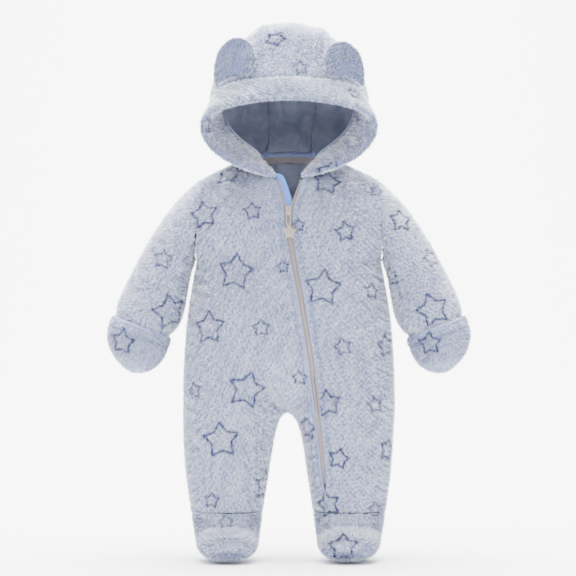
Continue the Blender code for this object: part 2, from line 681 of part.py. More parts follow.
def brim_grid():
    """The brim: from its seam over the folded lip to the edge of its facing."""
    shares, crown_shares = brim_shares()
    one_side = shares + crown_shares[1:]
    stations = [(share, -1) for share in one_side] + [(share, 1) for share in one_side[::-1][1:]]
    grid = []
    for share, side in stations:
        edges = brim_row(share, side)
        root = (edges["seam"] + edges["face"]) / 2
        row = []
        for i in range(BRIM_OUTER + BRIM_INNER + 1):
            turn = math.pi / 2 * i / BRIM_OUTER
            c, s = squared(turn, BRIM_FULLNESS)
            row.append(root + (edges["seam"] - root) * c + (edges["lip"] - root) * s)
        row[0], row[-1] = edges["seam"], edges["face"]
        if share == 0.0:
            row = [point + np.array((0, 0, BRIM_END_LIFT)) for point in row]
            row[:BRIM_OUTER + 1] = [neck_point(angle, side) for angle in BRIM_ANGLES]
        grid.append(row)
    return np.array(grid)


# --- making solids ------------------------------------------------------------------------------

def welded(grids):
    """The points and faces of grids, with points that coincide made one."""
    index, points, faces = {}, [], []
    for grid, flip in grids:
        ids = []
        for row in grid:
            line = []
            for point in row:
                key = tuple(np.round(point, 2))
                if key not in index:
                    index[key] = len(points)
                    points.append(np.array(point, float))
                line.append(index[key])
            ids.append(line)
        for upper, lower in zip(ids, ids[1:]):
            for k in range(len(upper) - 1):
                corners = [upper[k], lower[k], lower[k + 1], upper[k + 1]]
                face = [c for n, c in enumerate(corners) if c != corners[n - 1]]
                if len(face) > 2:
                    faces.append(face[::-1] if flip else face)
    return np.array(points), faces


def face_normal(points, face):
    a, b, c = points[face[0]], points[face[1]], points[face[2]]
    d = points[face[-1]]
    return np.cross(c - a, d - b) if len(face) == 4 else np.cross(b - a, c - a)


def point_normals(points, faces):
    normals = np.zeros_like(points)
    for face in faces:
        normal = face_normal(points, face)
        for corner in face:
            normals[corner] += normal
    return normals / np.maximum(np.linalg.norm(normals, axis=1), 1e-9)[:, None]


def edges_of(faces):
    """Each edge once, with how often it is used one way."""
    count = {}
    for face in faces:
        for a, b in zip(face, face[1:] + face[:1]):
            count[a, b] = count.get((a, b), 0) + 1
    return count


def rim_of(faces):
    """The directed edges that only one face uses."""
    used = edges_of(faces)
    return [(a, b) for a, b in used if (b, a) not in used]


def relaxed(points, faces, fixed, rounds, share=0.5):
    """Points drawn toward their neighbours, which smooths the kinks where patches meet."""
    neighbours = [set() for _ in points]
    for a, b in edges_of(faces):
        neighbours[a].add(b)
        neighbours[b].add(a)
    for _ in range(rounds):
        means = np.array([np.mean([points[n] for n in near], axis=0) for near in neighbours])
        moved = points + (means - points) * share
        moved[list(fixed)] = points[list(fixed)]
        points = moved
    return points


def fold_depth(point, normal):
    """How far the largest folds draw the surface in at this point."""
    depth = 0.0
    for fold in FOLDS:
        if (fold.side == "front") != (normal[1] < 0):
            continue
        start, end = np.array((fold.x1, fold.z1)), np.array((fold.x2, fold.z2))
        line, here = end - start, point[[0, 2]] - start
        share = min(max(here @ line / (line @ line), 0.0), 1.0)
        away = np.linalg.norm(here - line * share) / fold.width
        depth += fold.depth * math.exp(-away * away) * abs(normal[1])
    return depth


def material(slot):
    name = slot
    if name in bpy.data.materials:
        return bpy.data.materials[name]
    colour, roughness, metallic = COLOURS[slot]
    made = bpy.data.materials.new(name)
    made.use_nodes = True
    shader = made.node_tree.nodes["Principled BSDF"]
    shader.inputs["Base Color"].default_value = (*colour, 1)
    shader.inputs["Roughness"].default_value = roughness
    shader.inputs["Metallic"].default_value = metallic
    return made


def add_object(name, points, faces, slot, smooth=True):
    mesh = bpy.data.meshes.new(name)
    mesh.from_pydata([tuple(np.array(p) * MILLIMETRE) for p in points], [], [list(f) for f in faces])
    mesh.materials.append(material(slot))
    if smooth:
        mesh.shade_smooth()
    obj = bpy.data.objects.new(name, mesh)
    bpy.context.scene.collection.objects.link(obj)
    return obj


def add_wall(name, points, faces, normals, wall, slot, seam=()):
    """A panel as a solid wall: its outer face, the same drawn in by its thickness, and its rim.
    Points on a seam step back from it."""
    used = sorted({corner for face in faces for corner in face})
    place = {corner: i for i, corner in enumerate(used)}
    back = {corner: np.zeros(3) for corner in used}
    for face in faces:
        middle = np.mean([points[c] for c in face], axis=0)
        for corner in face:
            back[corner] += middle - points[corner]
    outer = []
    for corner in used:
        point = points[corner].copy()
        if corner in seam:
            way = back[corner] - normals[corner] * (back[corner] @ normals[corner])
            way -= seam[corner] * (way @ seam[corner])
            length = np.linalg.norm(way)
            if length > 1e-6:
                point += way / length * SEAM_GAP / 2
        outer.append(point)
    outer = np.array(outer)
    inner = outer - normals[used] * wall
    count = len(used)
    solid = [[place[c] for c in face] for face in faces]
    solid += [[place[c] + count for c in face[::-1]] for face in faces]
    for a, b in rim_of(faces):
        # both panels of a seam split this strip of rim along the same line
        if a < b:
            solid += [[place[b], place[a], place[b] + count], [place[a], place[a] + count, place[b] + count]]
        else:
            solid += [[place[b], place[a], place[a] + count], [place[b], place[a] + count, place[b] + count]]
    return add_object(name, np.concatenate((outer, inner)), solid, slot)


def sew(panels, walls, slots, relax_rounds):
    """Panels that share their seams, each as its own wall."""
    everything, owners = [], []
    for name, grids in panels.items():
        for grid in grids:
            everything.append(grid)
            owners.append((name, grid))
    points, faces = welded(everything)
    named = {}
    start = 0
    for name, grid in owners:
        _, own = welded([grid])
        named.setdefault(name, []).extend(faces[start:start + len(own)])
        start += len(own)
    edges = {}
    for name, own in named.items():
        for a, b in rim_of(own):
            edges.setdefault((min(a, b), max(a, b)), set()).add(name)
    rim = {corner for edge in edges for corner in edge}
    points = relaxed(points, faces, rim, relax_rounds)
    normals = point_normals(points, faces)
    points = points - normals * np.array([fold_depth(p, n) for p, n in zip(points, normals)])[:, None]
    normals = point_normals(points, faces)
    for name, own in named.items():
        seam = {}
        for a, b in rim_of(own):
            if len(edges[min(a, b), max(a, b)]) > 1:
                along = unit(points[b] - points[a])
                for corner in (a, b):
                    seam[corner] = seam.get(corner, np.zeros(3)) + along
        seam = {c: way / max(np.linalg.norm(way), 1e-9) for c, way in seam.items()}
        add_wall(name, points, own, normals, walls.get(name, PLUSH), slots.get(name, "plush"), seam)


def build_shell():
    """The outer panels and the hood's lining, sewn edge to edge."""
    panels = {**front_panels(), **foot_panels(), "back": back_panel()}
    for name, side in (("sleeve_right", -1), ("sleeve_left", 1)):
        rings = [sleeve_ring(share, side) for share in SLEEVE_SHARES]
        panels[name] = [(ringed(rings), side > 0)]
    for name, grids in hood_panels().items():
        panels["hood_" + name] = grids
    panels["hood_brim"] = [(brim_grid(), True)]
    walls, slots = {name: FOOT_PLUSH for name in foot_panels()}, {}
    for name, grids in hood_panels(lining=True).items():
        panels["hood_lining_" + name] = [(grid, not flip) for grid, flip in grids]
        walls["hood_lining_" + name] = LINING
        slots["hood_lining_" + name] = "velour"
    sew(panels, walls, slots, relax_rounds=2)


def build_mitts():
    for name, side in (("mitt_right", -1), ("mitt_left", 1)):
        grid = ringed([mitt_ring(along, side) for along in MITT_RINGS])
        add_sheet(name, [(grid, side > 0)], PLUSH, "plush")


def seam_at(x):
    """The brim's seam where it is this far to the side, on the wearer's left."""
    shares = np.linspace(BRIM[5].share, 1.0, 60)
    seams = np.array([brim_row(share, 1)["seam"] for share in shares])
    return np.array([np.interp(x, seams[::-1, 0], seams[::-1, n]) for n in range(3)])


def build_ears():
    """Two cupped ears that stand on the brim's seam."""
    for ear in EARS:
        rows = []
        for v in steps(0.0, 1.0, EAR_ROWS):
            if v > EAR_WIDEST:
                width = math.sqrt(max(1 - ((v - EAR_WIDEST) / (1 - EAR_WIDEST)) ** 2, 0.0))
            else:
                width = 1 - (1 - EAR_FOOT) * ((EAR_WIDEST - v) / EAR_WIDEST) ** 2
            row = []
            for a in steps(-1.0, 1.0, EAR_COLUMNS):
                x = ear.middle_x + ear.half_width * a * width
                seam = seam_at(x)
                x, y, z = seam + unit(seam - HOOD_MIDDLE) * EAR_STAND
                y += (EAR_TOP_Y - y) * EAR_TURN * v
                y -= EAR_CUP * (a * width) ** 2 * math.sin(EAR_CUP_TURN * v)
                point = np.array((x, y, z + ear.height * v))
                way = point - HOOD_MIDDLE
                clear = on_hood(way, -EAR_STAND)
                if np.linalg.norm(way) < np.linalg.norm(clear - HOOD_MIDDLE):
                    point = clear
                row.append(point * (ear.side, 1, 1))
            rows.append(row)
        add_sheet(ear.name, [(np.array(rows), ear.side < 0)], EAR_THICKNESS, "ear_plush")


def zip_surface(height, x):
    """The front's outer face beside the zip."""
    if height > TORSO_HEIGHTS[0]:
        return np.array((x, -straight_at(ZIP_LINE, height)[2], height))
    return body_point(height, across_at(height, x), -1)


def build_zip_tapes():
    """The two tapes under the panels' edges, parted at the neck and meeting below the slider."""
    heights = steps(neck_point(NECK_FRONT, 1)[2], TORSO_HEIGHTS[0], YOKE_ROWS) + list(TORSO_HEIGHTS[1:])
    heights += [height for height in LEG_HEIGHTS[1:] if height > ZIP_END] + [ZIP_END]
    for name, side in (("zip_tape_right", -1), ("zip_tape_left", 1)):
        rows = []
        for height in heights:
            middle, half_gap, _ = straight_at(ZIP_LINE, height)
            near = max(half_gap - TAPE_SHOWS, TAPE_MEETING)
            edges = (near, half_gap, half_gap + TAPE_HIDDEN)
            rows.append([zip_surface(height, middle + side * edge) for edge in edges])
        add_sheet(name, [(np.array(rows), side < 0)], TAPE, "zip_tape", TAPE_DEPTH)


def build_zip_guard():
    """The strip behind the zip's right edge, with a rounded top, that keeps the zip off the chin."""
    depth = TAPE_DEPTH + TAPE + LAYER_GAP
    rows = []
    for row in GUARD:
        forward = straight_at(ZIP_LINE, row.height)[2]
        rows.append([np.array((x, -forward, row.height)) for x in steps(row.right, row.left, 3)])
    add_sheet("zip_guard", [(np.array(rows), False)], GUARD_THICKNESS, "zip_guard", depth)


def build_linings():
    """The back's lining below the neck, and the tape over its seam with the hood's lining."""
    columns = steps(-1.0, 1.0, BACK_COLUMNS)
    half_width, _, back = table_at(TORSO, TORSO[0].height)
    top, bottom = [], []
    for a in columns:
        side = -1 if a < 0 else 1
        edge = neck_point(180 - abs(a) * (180 - BACK_LINING_ANGLE), side)
        edge[:2] = shrunk(edge, BACK_LINING_DEPTH)
        top.append(edge - np.array((0, 0, LINING_BELOW)))
        x = a * BACK_LINING_HALF
        share = turn_of(-x / half_width)
        y = back * squared(share * math.pi)[1] - BACK_LINING_DEPTH
        bottom.append(np.array((x, y, BACK_LINING_DROP)))
    shares = steps(0.0, 1.0, BACK_ROWS)
    left = [top[0] + (bottom[0] - top[0]) * t for t in shares]
    right = [top[-1] + (bottom[-1] - top[-1]) * t for t in shares]
    grid = coons(top, bottom, left, right)
    add_sheet("back_lining", [(grid, False)], LINING, "velour")
    rows = []
    for lift in (NECK_TAPE_HIGH, NECK_TAPE_LOW):
        row = []
        for a in columns:
            side = -1 if a < 0 else 1
            point = neck_point(180 - abs(a) * (180 - NECK_TAPE_ANGLE), side)
            point[:2] = shrunk(point, BACK_LINING_DEPTH + TAPE + LAYER_GAP)
            row.append(point + np.array((0, 0, lift)))
        rows.append(row)
    add_sheet("neck_tape", [(np.array(rows), False)], TAPE, "neck_tape")


def shrunk(point, by):
    """A point's place on the level, drawn in toward the middle of the neck."""
    middle = np.array((0.0, NECK_MIDDLE_Y))
    way = point[:2] - middle
    return middle + way * (1 - by / np.linalg.norm(way))


def build_slider():
    """The slider's body, with the bail that its pull hangs from. Gives the slider's place across."""
    middle, _, forward = straight_at(ZIP_LINE, SLIDER_HEIGHT)
    width, depth, height = SLIDER_SIZE
    back = -forward + TAPE_DEPTH - LAYER_GAP
    body = box_object("zip_slider", (middle, back - depth / 2, SLIDER_HEIGHT), SLIDER_SIZE, "zip_metal", 1.2)
    bail = ring_object("bail", BAIL_RADIUS, BAIL_RADIUS, BAIL_WIRE, "zip_metal")
    bail.rotation_euler = (0, 0, math.pi / 2)
    bail.location = np.array((middle, back - depth, HINGE_HEIGHT + 1.0)) * MILLIMETRE
    bail.hide_render, bail.display_type = True, "WIRE"
    union = body.modifiers.new("bail", "BOOLEAN")
    union.operation, union.solver, union.object = "UNION", "EXACT", bail
    return middle


def build_pull(middle):
    """The pull: a ring through the bail and a plain star that hangs from it. Its origin is where
    the ring hangs on the bail."""
    star_y = -straight_at(ZIP_LINE, STAR_PLACE[1])[2] - PULL_CLEARANCE - STAR_THICKNESS / 2
    hinge = np.array((middle, star_y + RING_BACK, HINGE_HEIGHT))
    star = star_object("zip_pull", STAR_RADIUS, STAR_WAIST, STAR_THICKNESS, "zip_metal")
    ring = ring_object("ring", RING_HALF_WIDTH, RING_LENGTH / 2, RING_WIRE, "zip_metal")
    ring.location = (hinge - np.array((0, 0, RING_LENGTH / 2))) * MILLIMETRE
    star_place = np.array((STAR_PLACE[0], star_y, STAR_PLACE[1]))
    star.data.transform(Matrix.Translation((star_place - hinge) * MILLIMETRE))
    star.location = hinge * MILLIMETRE
    ring.hide_render, ring.display_type = True, "WIRE"
    union = star.modifiers.new("ring", "BOOLEAN")
    union.operation, union.solver, union.object = "UNION", "EXACT", ring


def box_object(name, middle, size, slot, bevel):
    mesh = bpy.data.meshes.new(name)
    form = bmesh.new()
    bmesh.ops.create_cube(form, size=1.0)
    for vertex in form.verts:
        vertex.co = [c * s * MILLIMETRE for c, s in zip(vertex.co, size)]
    form.to_mesh(mesh)
    form.free()
    mesh.materials.append(material(slot))
    obj = bpy.data.objects.new(name, mesh)
    obj.location = np.array(middle) * MILLIMETRE
    bpy.context.scene.collection.objects.link(obj)
    rounding = obj.modifiers.new("bevel", "BEVEL")
    rounding.width, rounding.segments = bevel * MILLIMETRE, 2
    return obj


def ring_object(name, half_width, half_height, wire, slot):
    """A closed oval ring of round wire, standing in the plane of X and Z."""
    around, section = 20, 8
    points, faces = [], []
    for i in range(around):
        turn = 2 * math.pi * i / around
        middle = np.array((half_width * math.cos(turn), 0, half_height * math.sin(turn)))
        out = unit(np.array((math.cos(turn) / half_width, 0, math.sin(turn) / half_height)))
        for k in range(section):
            tilt = 2 * math.pi * k / section
            points.append(middle + out * wire * math.cos(tilt) + np.array((0, wire * math.sin(tilt), 0)))
    for i in range(around):
        for k in range(section):
            a, b = i * section + k, i * section + (k + 1) % section
            c, d = ((i + 1) % around) * section + k, ((i + 1) % around) * section + (k + 1) % section
            faces.append([a, b, d, c])
    return add_object(name, points, faces, slot)


def star_object(name, radius, waist, thickness, slot):
    """A flat five-pointed star, standing in the plane of X and Z."""
    points, faces = [], []
    corners = 10
    for y in (-thickness / 2, thickness / 2):
        for i in range(corners):
            turn = math.pi / 2 + math.pi * i / 5
            reach = radius if i % 2 == 0 else waist
            points.append((reach * math.cos(turn), y, reach * math.sin(turn)))
    faces = [list(range(corners)), list(range(2 * corners - 1, corners - 1, -1))]
    for i in range(corners):
        k = (i + 1) % corners
        faces.append([i, i + corners, k + corners, k])
    star = add_object(name, points, faces, slot, smooth=False)
    rounding = star.modifiers.new("bevel", "BEVEL")
    rounding.width, rounding.segments = 0.5 * MILLIMETRE, 2
    return star


def add_sheet(name, grids, wall, slot, depth=0.0):
    """A piece of its own from its grids, laid in by a depth from the surface they follow."""
    points, faces = welded(grids)
    normals = point_normals(points, faces)
    return add_wall(name, points - normals * depth, faces, normals, wall, slot)


def clear_scene():
    for obj in list(bpy.data.objects):
        bpy.data.objects.remove(obj, do_unlink=True)


clear_scene()
build_shell()
build_mitts()
build_ears()
build_zip_tapes()
build_zip_guard()
build_linings()
build_pull(build_slider())
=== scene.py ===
"""Looks of a hooded plush baby snowsuit, filled out as if worn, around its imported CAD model.

Metres, +Z up, the front faces -Y and the wearer's left is +X. Places and sizes that are written
without MM are in millimetres. The file follows the suit as it is made: the printed plush and its
panels, the feet, mitts, hood, brim and ears, the linings, the zip, then the room around it.
"""

import math
from collections import namedtuple

import bmesh
import bpy
import numpy as np
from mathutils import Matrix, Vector
from mathutils.bvhtree import BVHTree


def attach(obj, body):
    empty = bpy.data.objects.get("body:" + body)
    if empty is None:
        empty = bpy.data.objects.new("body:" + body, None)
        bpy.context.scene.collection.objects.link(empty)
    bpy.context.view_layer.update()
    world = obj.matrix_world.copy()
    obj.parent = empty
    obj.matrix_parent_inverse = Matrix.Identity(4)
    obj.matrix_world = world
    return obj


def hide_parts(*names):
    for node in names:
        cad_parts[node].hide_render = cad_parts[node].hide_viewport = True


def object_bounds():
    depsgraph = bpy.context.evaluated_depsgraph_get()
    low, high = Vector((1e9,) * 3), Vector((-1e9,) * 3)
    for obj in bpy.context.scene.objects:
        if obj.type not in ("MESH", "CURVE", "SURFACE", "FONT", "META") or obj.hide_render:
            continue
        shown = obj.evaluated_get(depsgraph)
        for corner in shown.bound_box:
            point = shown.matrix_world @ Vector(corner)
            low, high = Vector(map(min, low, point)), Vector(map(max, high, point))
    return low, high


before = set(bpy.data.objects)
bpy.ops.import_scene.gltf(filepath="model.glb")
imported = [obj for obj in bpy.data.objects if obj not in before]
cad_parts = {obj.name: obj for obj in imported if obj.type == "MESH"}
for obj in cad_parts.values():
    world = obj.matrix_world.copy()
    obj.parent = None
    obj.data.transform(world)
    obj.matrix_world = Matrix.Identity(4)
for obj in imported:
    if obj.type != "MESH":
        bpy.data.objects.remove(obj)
cad_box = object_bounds()
MM = 0.001

# --- The plush: body, legs and sleeves ----------------------------------------------------------
# Long-pile fleece: a knitted ground with soft fibres that are brushed down the suit. The panels
# are cut from it and sewn edge to edge, so each seam lies in a shallow furrow of the pile.

PILE = 3.6 * MM                      # height of the brushed pile above its ground
GROUND = 1.0 * MM                    # thickness of the knitted ground
CORNER = math.radians(55)            # a panel's outer face ends where its wall turns by more
SURELY_OUT, JUST_OUT = 0.85, -0.2    # how squarely a wall looks away from the line inside it


def spine_gap(point, spine):
    """The way from the nearest point of a line of straight runs to this point."""
    best = None
    for start, end in zip(spine, spine[1:]):
        run = end - start
        share = min(max((point - start).dot(run) / max(run.length_squared, 1e-12), 0.0), 1.0)
        gap = point - (start + run * share)
        if best is None or gap.length < best.length:
            best = gap
    return best


def put(name, data):
    """A new object with this data, in the scene."""
    made = bpy.data.objects.new(name, data)
    bpy.context.scene.collection.objects.link(made)
    return made


def outer_face(node, *spines, whole=False):
    """A panel's outer face as a smooth mesh, read from its solid. The spines run inside the suit,
    and the outer face is what looks away from them. A closed piece gives its whole skin."""
    shape = bmesh.new()
    shape.from_mesh(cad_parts[node].data)
    bmesh.ops.remove_doubles(shape, verts=shape.verts, dist=0.02 * MM)
    shape.normal_update()
    if not whole:
        lines = [[Vector(p) * MM for p in spine] for spine in spines]
        outward = {}
        for face in shape.faces:
            gaps = [spine_gap(face.calc_center_median(), line) for line in lines]
            outward[face] = face.normal.dot(min(gaps, key=lambda g: g.length).normalized())
        taken = {face for face, share in outward.items() if share > SURELY_OUT}
        queue = list(taken)
        while queue:
            for edge in queue.pop().edges:
                for other in edge.link_faces:
                    if (other not in taken and outward[other] > JUST_OUT
                            and edge.calc_face_angle(math.pi) < CORNER):
                        taken.add(other)
                        queue.append(other)
        bmesh.ops.delete(shape, geom=[f for f in shape.faces if f not in taken], context="FACES")
    bmesh.ops.join_triangles(shape, faces=shape.faces, angle_face_threshold=math.radians(40),
                             angle_shape_threshold=math.radians(60))
    mesh = bpy.data.meshes.new(node + "_face")
    shape.to_mesh(mesh)
    shape.free()
    rough = put(node + "_face", mesh)
    smooth = rough.modifiers.new("smooth", "SUBSURF")
    smooth.levels = smooth.render_levels = 1 if whole else 2
    smooth.boundary_smooth = "PRESERVE_CORNERS"
    graph = bpy.context.evaluated_depsgraph_get()
    face = bpy.data.meshes.new_from_object(rough.evaluated_get(graph))
    bpy.data.objects.remove(rough)
    return face


def mottle(points, size, seed):
    """A soft uneven value from about -1 to 1 over the cloth, with patches of about this size."""
    chance = np.random.default_rng(seed)
    total = np.zeros(len(points))
    for _ in range(7):
        way = chance.normal(size=3)
        way *= 2 * math.pi / (size * chance.uniform(0.8, 1.7)) / np.linalg.norm(way)
        total += np.sin(points @ way + chance.uniform(0, 2 * math.pi))
    return total / 2.6


def sewn_cloth(name, face, thickness, finish, depth=0.0, reach=0.7 * MM):
    """A sheet of cloth on this face, laid in by a depth, whose edges reach a little further to
    meet the next panel's."""
    shape = bmesh.new()
    shape.from_mesh(face)
    shape.normal_update()
    moves = []
    for vert in shape.verts:
        move = -vert.normal * depth
        if vert.is_boundary and reach:
            inner = [e.other_vert(vert).co for e in vert.link_edges if not e.is_boundary]
            if inner:
                out = sum(((vert.co - p) for p in inner), Vector())
                out -= vert.normal * out.dot(vert.normal)
                move = move + out.normalized() * reach
        moves.append((vert, move))
    for vert, move in moves:
        vert.co += move
    mesh = bpy.data.meshes.new(name)
    shape.to_mesh(mesh)
    shape.free()
    mesh.shade_smooth()
    mesh.materials.clear()
    mesh.materials.append(finish)
    cloth = put(name, mesh)
    if thickness:
        wall = cloth.modifiers.new("thickness", "SOLIDIFY")
        wall.thickness, wall.offset = thickness, -1.0
    return cloth


def new_finish(name):
    """A new material, with its nodes, its links and its shader."""
    made = bpy.data.materials.new(name)
    made.use_nodes = True
    tree = made.node_tree
    return made, tree.nodes, tree.links, tree.nodes["Principled BSDF"]


def raise_grain(nodes, links, shader, height, strength, depth):
    """Raise the bright parts of a pattern by this depth."""
    bump = nodes.new("ShaderNodeBump")
    bump.inputs["Strength"].default_value = strength
    bump.inputs["Distance"].default_value = depth
    links.new(height, bump.inputs["Height"])
    links.new(bump.outputs["Normal"], shader.inputs["Normal"])


def fleece_ground():
    """Knitted ground between the fibres: darker and bluer than the tips."""
    made, nodes, links, shader = new_finish("fleece_ground")
    place = nodes.new("ShaderNodeTexCoord")
    grain = nodes.new("ShaderNodeTexNoise")
    grain.inputs["Scale"].default_value = 420
    grain.inputs["Detail"].default_value = 4
    tone = nodes.new("ShaderNodeValToRGB")
    tone.color_ramp.elements[0].color = (0.16, 0.20, 0.40, 1)
    tone.color_ramp.elements[1].color = (0.32, 0.37, 0.58, 1)
    links.new(place.outputs["Object"], grain.inputs["Vector"])
    links.new(grain.outputs["Fac"], tone.inputs["Fac"])
    links.new(tone.outputs["Color"], shader.inputs["Base Color"])
    raise_grain(nodes, links, shader, grain.outputs["Fac"], 0.5, 0.8 * MM)
    shader.inputs["Roughness"].default_value = 0.95
    shader.inputs["Specular IOR Level"].default_value = 0.15
    shader.inputs["Sheen Weight"].default_value = 0.3
    return made


def brushed_pile():
    """The fibres: their colour as the mesh carries it, from blue at the root to almost white at the tip,
    printed navy, with painted shade in the dents and furrows and painted light where they face up, and
    uneven tone over the cloth."""
    made, nodes, links, shader = new_finish("brushed_pile")
    dye = nodes.new("ShaderNodeAttribute")
    dye.attribute_name = "pile_colour_shade_and_light"
    place = nodes.new("ShaderNodeTexCoord")
    uneven = nodes.new("ShaderNodeTexNoise")
    uneven.inputs["Scale"].default_value = 55
    uneven.inputs["Detail"].default_value = 5
    uneven.inputs["Roughness"].default_value = 0.65
    tone = nodes.new("ShaderNodeMapRange")
    tone.inputs["From Min"].default_value = 0.3
    tone.inputs["From Max"].default_value = 0.7
    tone.inputs["To Min"].default_value = 0.86
    tone.inputs["To Max"].default_value = 1.08
    mixed = nodes.new("ShaderNodeVectorMath")
    mixed.operation = "SCALE"
    links.new(place.outputs["Object"], uneven.inputs["Vector"])
    links.new(uneven.outputs["Fac"], tone.inputs["Value"])
    links.new(dye.outputs["Color"], mixed.inputs[0])
    links.new(tone.outputs["Result"], mixed.inputs["Scale"])
    links.new(mixed.outputs["Vector"], shader.inputs["Base Color"])
    shader.inputs["Roughness"].default_value = 0.85
    shader.inputs["Specular IOR Level"].default_value = 0.15
    shader.inputs["Sheen Weight"].default_value = 0.12
    shader.inputs["Sheen Roughness"].default_value = 0.5
    shader.inputs["Sheen Tint"].default_value = (0.86, 0.9, 1.0, 1)
    return made


GROUND_FINISH, PILE_FINISH = fleece_ground(), brushed_pile()

# The print: plain five-pointed outline stars, scattered and listed one by one. Places are seen from the
# front or the back, and the radius reaches to the points.
Star = namedtuple("Star", "side x z radius turn")
STARS = [Star("front", *row) for row in (
    (-120, -72, 20, 10), (-75, -153, 26, -8), (-166, -210, 26, 14), (-113, -231, 24, 3),
    (-59, -318, 26, -14), (-95, -389, 26, 6), (48, -175, 26, -6), (203, -206, 24, 20),
    (-84, -12, 22, 12), (54, -26, 20, -16), (74, -532, 22, 5), (54, -337, 19, 9),
    (25, -373, 17, -12), (-34, -454, 21, -4), (138, -257, 17, 8), (140, -403, 17, -10),
    (54, -480, 18, 15), (-236, -252, 19, -12), (198, -254, 17, 4), (160, -79, 17, -8),
    (203, -132, 14, 16), (144, -160, 14, 5), (-19, 176, 15, -20), (-116, 52, 13, 8),
    (93, 97, 13, -12), (-51, -68, 13, 6), (-178, -135, 14, -10), (-39, -231, 13, 4),
    (-134, -320, 12, 14), (-109, -474, 11, -5), (-88, -504, 11, 12), (15, -302, 11, -3),
    (122, -339, 12, 9), (70, -415, 15, -14), (122, -487, 11, 6), (80, -97, 15, 10),
    (118, -180, 12, -9), (76, -258, 13, 13), (14, -88, 9, 2), (-8, -146, 9, 8),
    (124, -37, 10, -10), (17, 132, 11, 5), (-58, 128, 10, -6), (66, 150, 12, 12))]
STARS += [Star("back", *row) for row in (
    (-92, -60, 22, 8), (20, -45, 20, -12), (95, -95, 24, 5), (-30, -120, 25, 12),
    (-118, -165, 18, -6), (40, -178, 17, 15), (118, -205, 22, -10), (-75, -222, 24, 4),
    (15, -258, 22, -8), (-125, -285, 16, 11), (82, -292, 25, 7), (-45, -318, 18, -14),
    (130, -352, 15, 3), (-98, -382, 23, -5), (60, -398, 20, 12), (118, -452, 18, -9),
    (-60, -462, 17, 9), (-120, -480, 12, -3), (70, -500, 13, 6), (-165, -92, 18, 10),
    (-205, -150, 20, -12), (-200, -215, 14, 5), (178, -112, 20, 6), (212, -182, 18, -7),
    (180, -205, 12, 13), (-55, 60, 20, 9), (50, 95, 22, -11), (0, 150, 18, 4), (15, 25, 14, -6),
    (-70, 130, 13, 12), (85, 40, 14, 3), (-226, -262, 16, 8), (222, -258, 17, -9))]
STAR_WAIST = 0.56                    # inner corners, as a share of the radius
STAR_LINE = 1.45 * MM                # half the printed line's width on a large star
SMALL_STAR, SMALL_LINE = 15 * MM, 0.72    # a star below this radius has a line this much thinner
PLUSH = ("front", "back", "sleeve", "mitt", "hood_side", "hood_centre", "hood_brim", "foot", "sole")
PLUSH_NODES = [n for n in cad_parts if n.startswith(PLUSH) and n != "back_lining"]


def star_places():
    """Each star's middle on the suit, the way it faces, its right and up ways along the cloth
    there, and its radius."""
    points, faces = [], []
    for node in PLUSH_NODES:
        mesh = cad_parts[node].data
        faces += [[v + len(points) for v in p.vertices] for p in mesh.polygons]
        points += [v.co.copy() for v in mesh.vertices]
    suit = BVHTree.FromPolygons(points, faces)
    places = []
    for star in STARS:
        face = -1 if star.side == "front" else 1
        hit, normal, _, _ = suit.ray_cast(Vector((star.x * MM, face, star.z * MM)),
                                          Vector((0, -face, 0)))
        if hit is None:
            continue
        normal = np.array(normal)
        right = np.cross(normal, (0, 0, 1.0))
        right = -right / np.linalg.norm(right)
        up = np.cross(right, normal)
        up *= math.copysign(1, up[2])
        turn = math.radians(star.turn)
        places.append((np.array(hit), normal, right * math.cos(turn) + up * math.sin(turn),
                       up * math.cos(turn) - right * math.sin(turn), star.radius * MM))
    return places


STAR_PLACES = star_places()


def star_corner(k, radius):
    """A corner of the outline: even ones are points, odd ones lie at the waist."""
    reach = radius * (1.0 if k % 2 == 0 else STAR_WAIST)
    turn = math.pi / 2 + math.pi * k / 5
    return reach * math.cos(turn), reach * math.sin(turn)


def star_print(points, normals, chance):
    """How strongly the navy print shows at each point, from 0 to 1."""
    ink = np.zeros(len(points))
    for middle, facing, right, up, radius in STAR_PLACES:
        way = points - middle
        near = np.nonzero((np.abs(way).max(1) < radius * 1.4) & (normals @ facing > 0.1))[0]
        if not len(near):
            continue
        across, rise = way[near] @ right, way[near] @ up
        away = np.full(len(near), 1.0)
        for k in range(10):
            (ax, ay), (bx, by) = star_corner(k, radius), star_corner(k + 1, radius)
            run_x, run_y = bx - ax, by - ay
            share = ((across - ax) * run_x + (rise - ay) * run_y) / (run_x ** 2 + run_y ** 2)
            share = np.clip(share, 0, 1)
            away = np.minimum(away, np.hypot(across - ax - run_x * share, rise - ay - run_y * share))
        line = STAR_LINE * (SMALL_LINE if radius < SMALL_STAR else 1.0)
        away += chance.normal(0, 0.35 * MM, len(near)) + mottle(points[near], 7 * MM, 31) * 0.3 * MM
        ink[near] = np.maximum(ink[near], np.clip(1.5 - away / line, 0, 1))
    return ink


# The pile: its colours and the painted shade for its dents, how it clumps and lies, and how it is
# pressed flat along a line
UNDER, TIP = np.array((0.26, 0.31, 0.52)), np.array((0.93, 0.95, 1.00))
SHADE = np.array((0.055, 0.08, 0.24))     # painted shade on the fibres in the dents between two tufts
NAVY, NAVY_TIP = np.array((0.012, 0.018, 0.09)), np.array((0.022, 0.032, 0.12))
TUFT = 3.2 * MM                           # width of a tuft
LEAN = 42.0                               # degrees that the fibres lie over
DOWN = np.array((0.0, 0.0, -1.0))
MOST_FIBRES, QUICK_SHARE = 198000, 0.4
# a line along which the pile is pressed: its width, the share of height it loses, and how much painted
# shade darkens it
Press = namedtuple("Press", "line width depth shading")
# along each seam the pile is pressed lower, with painted shade in the furrow
SEAM = dict(width=5.0 * MM, depth=0.5, shading=0.3)


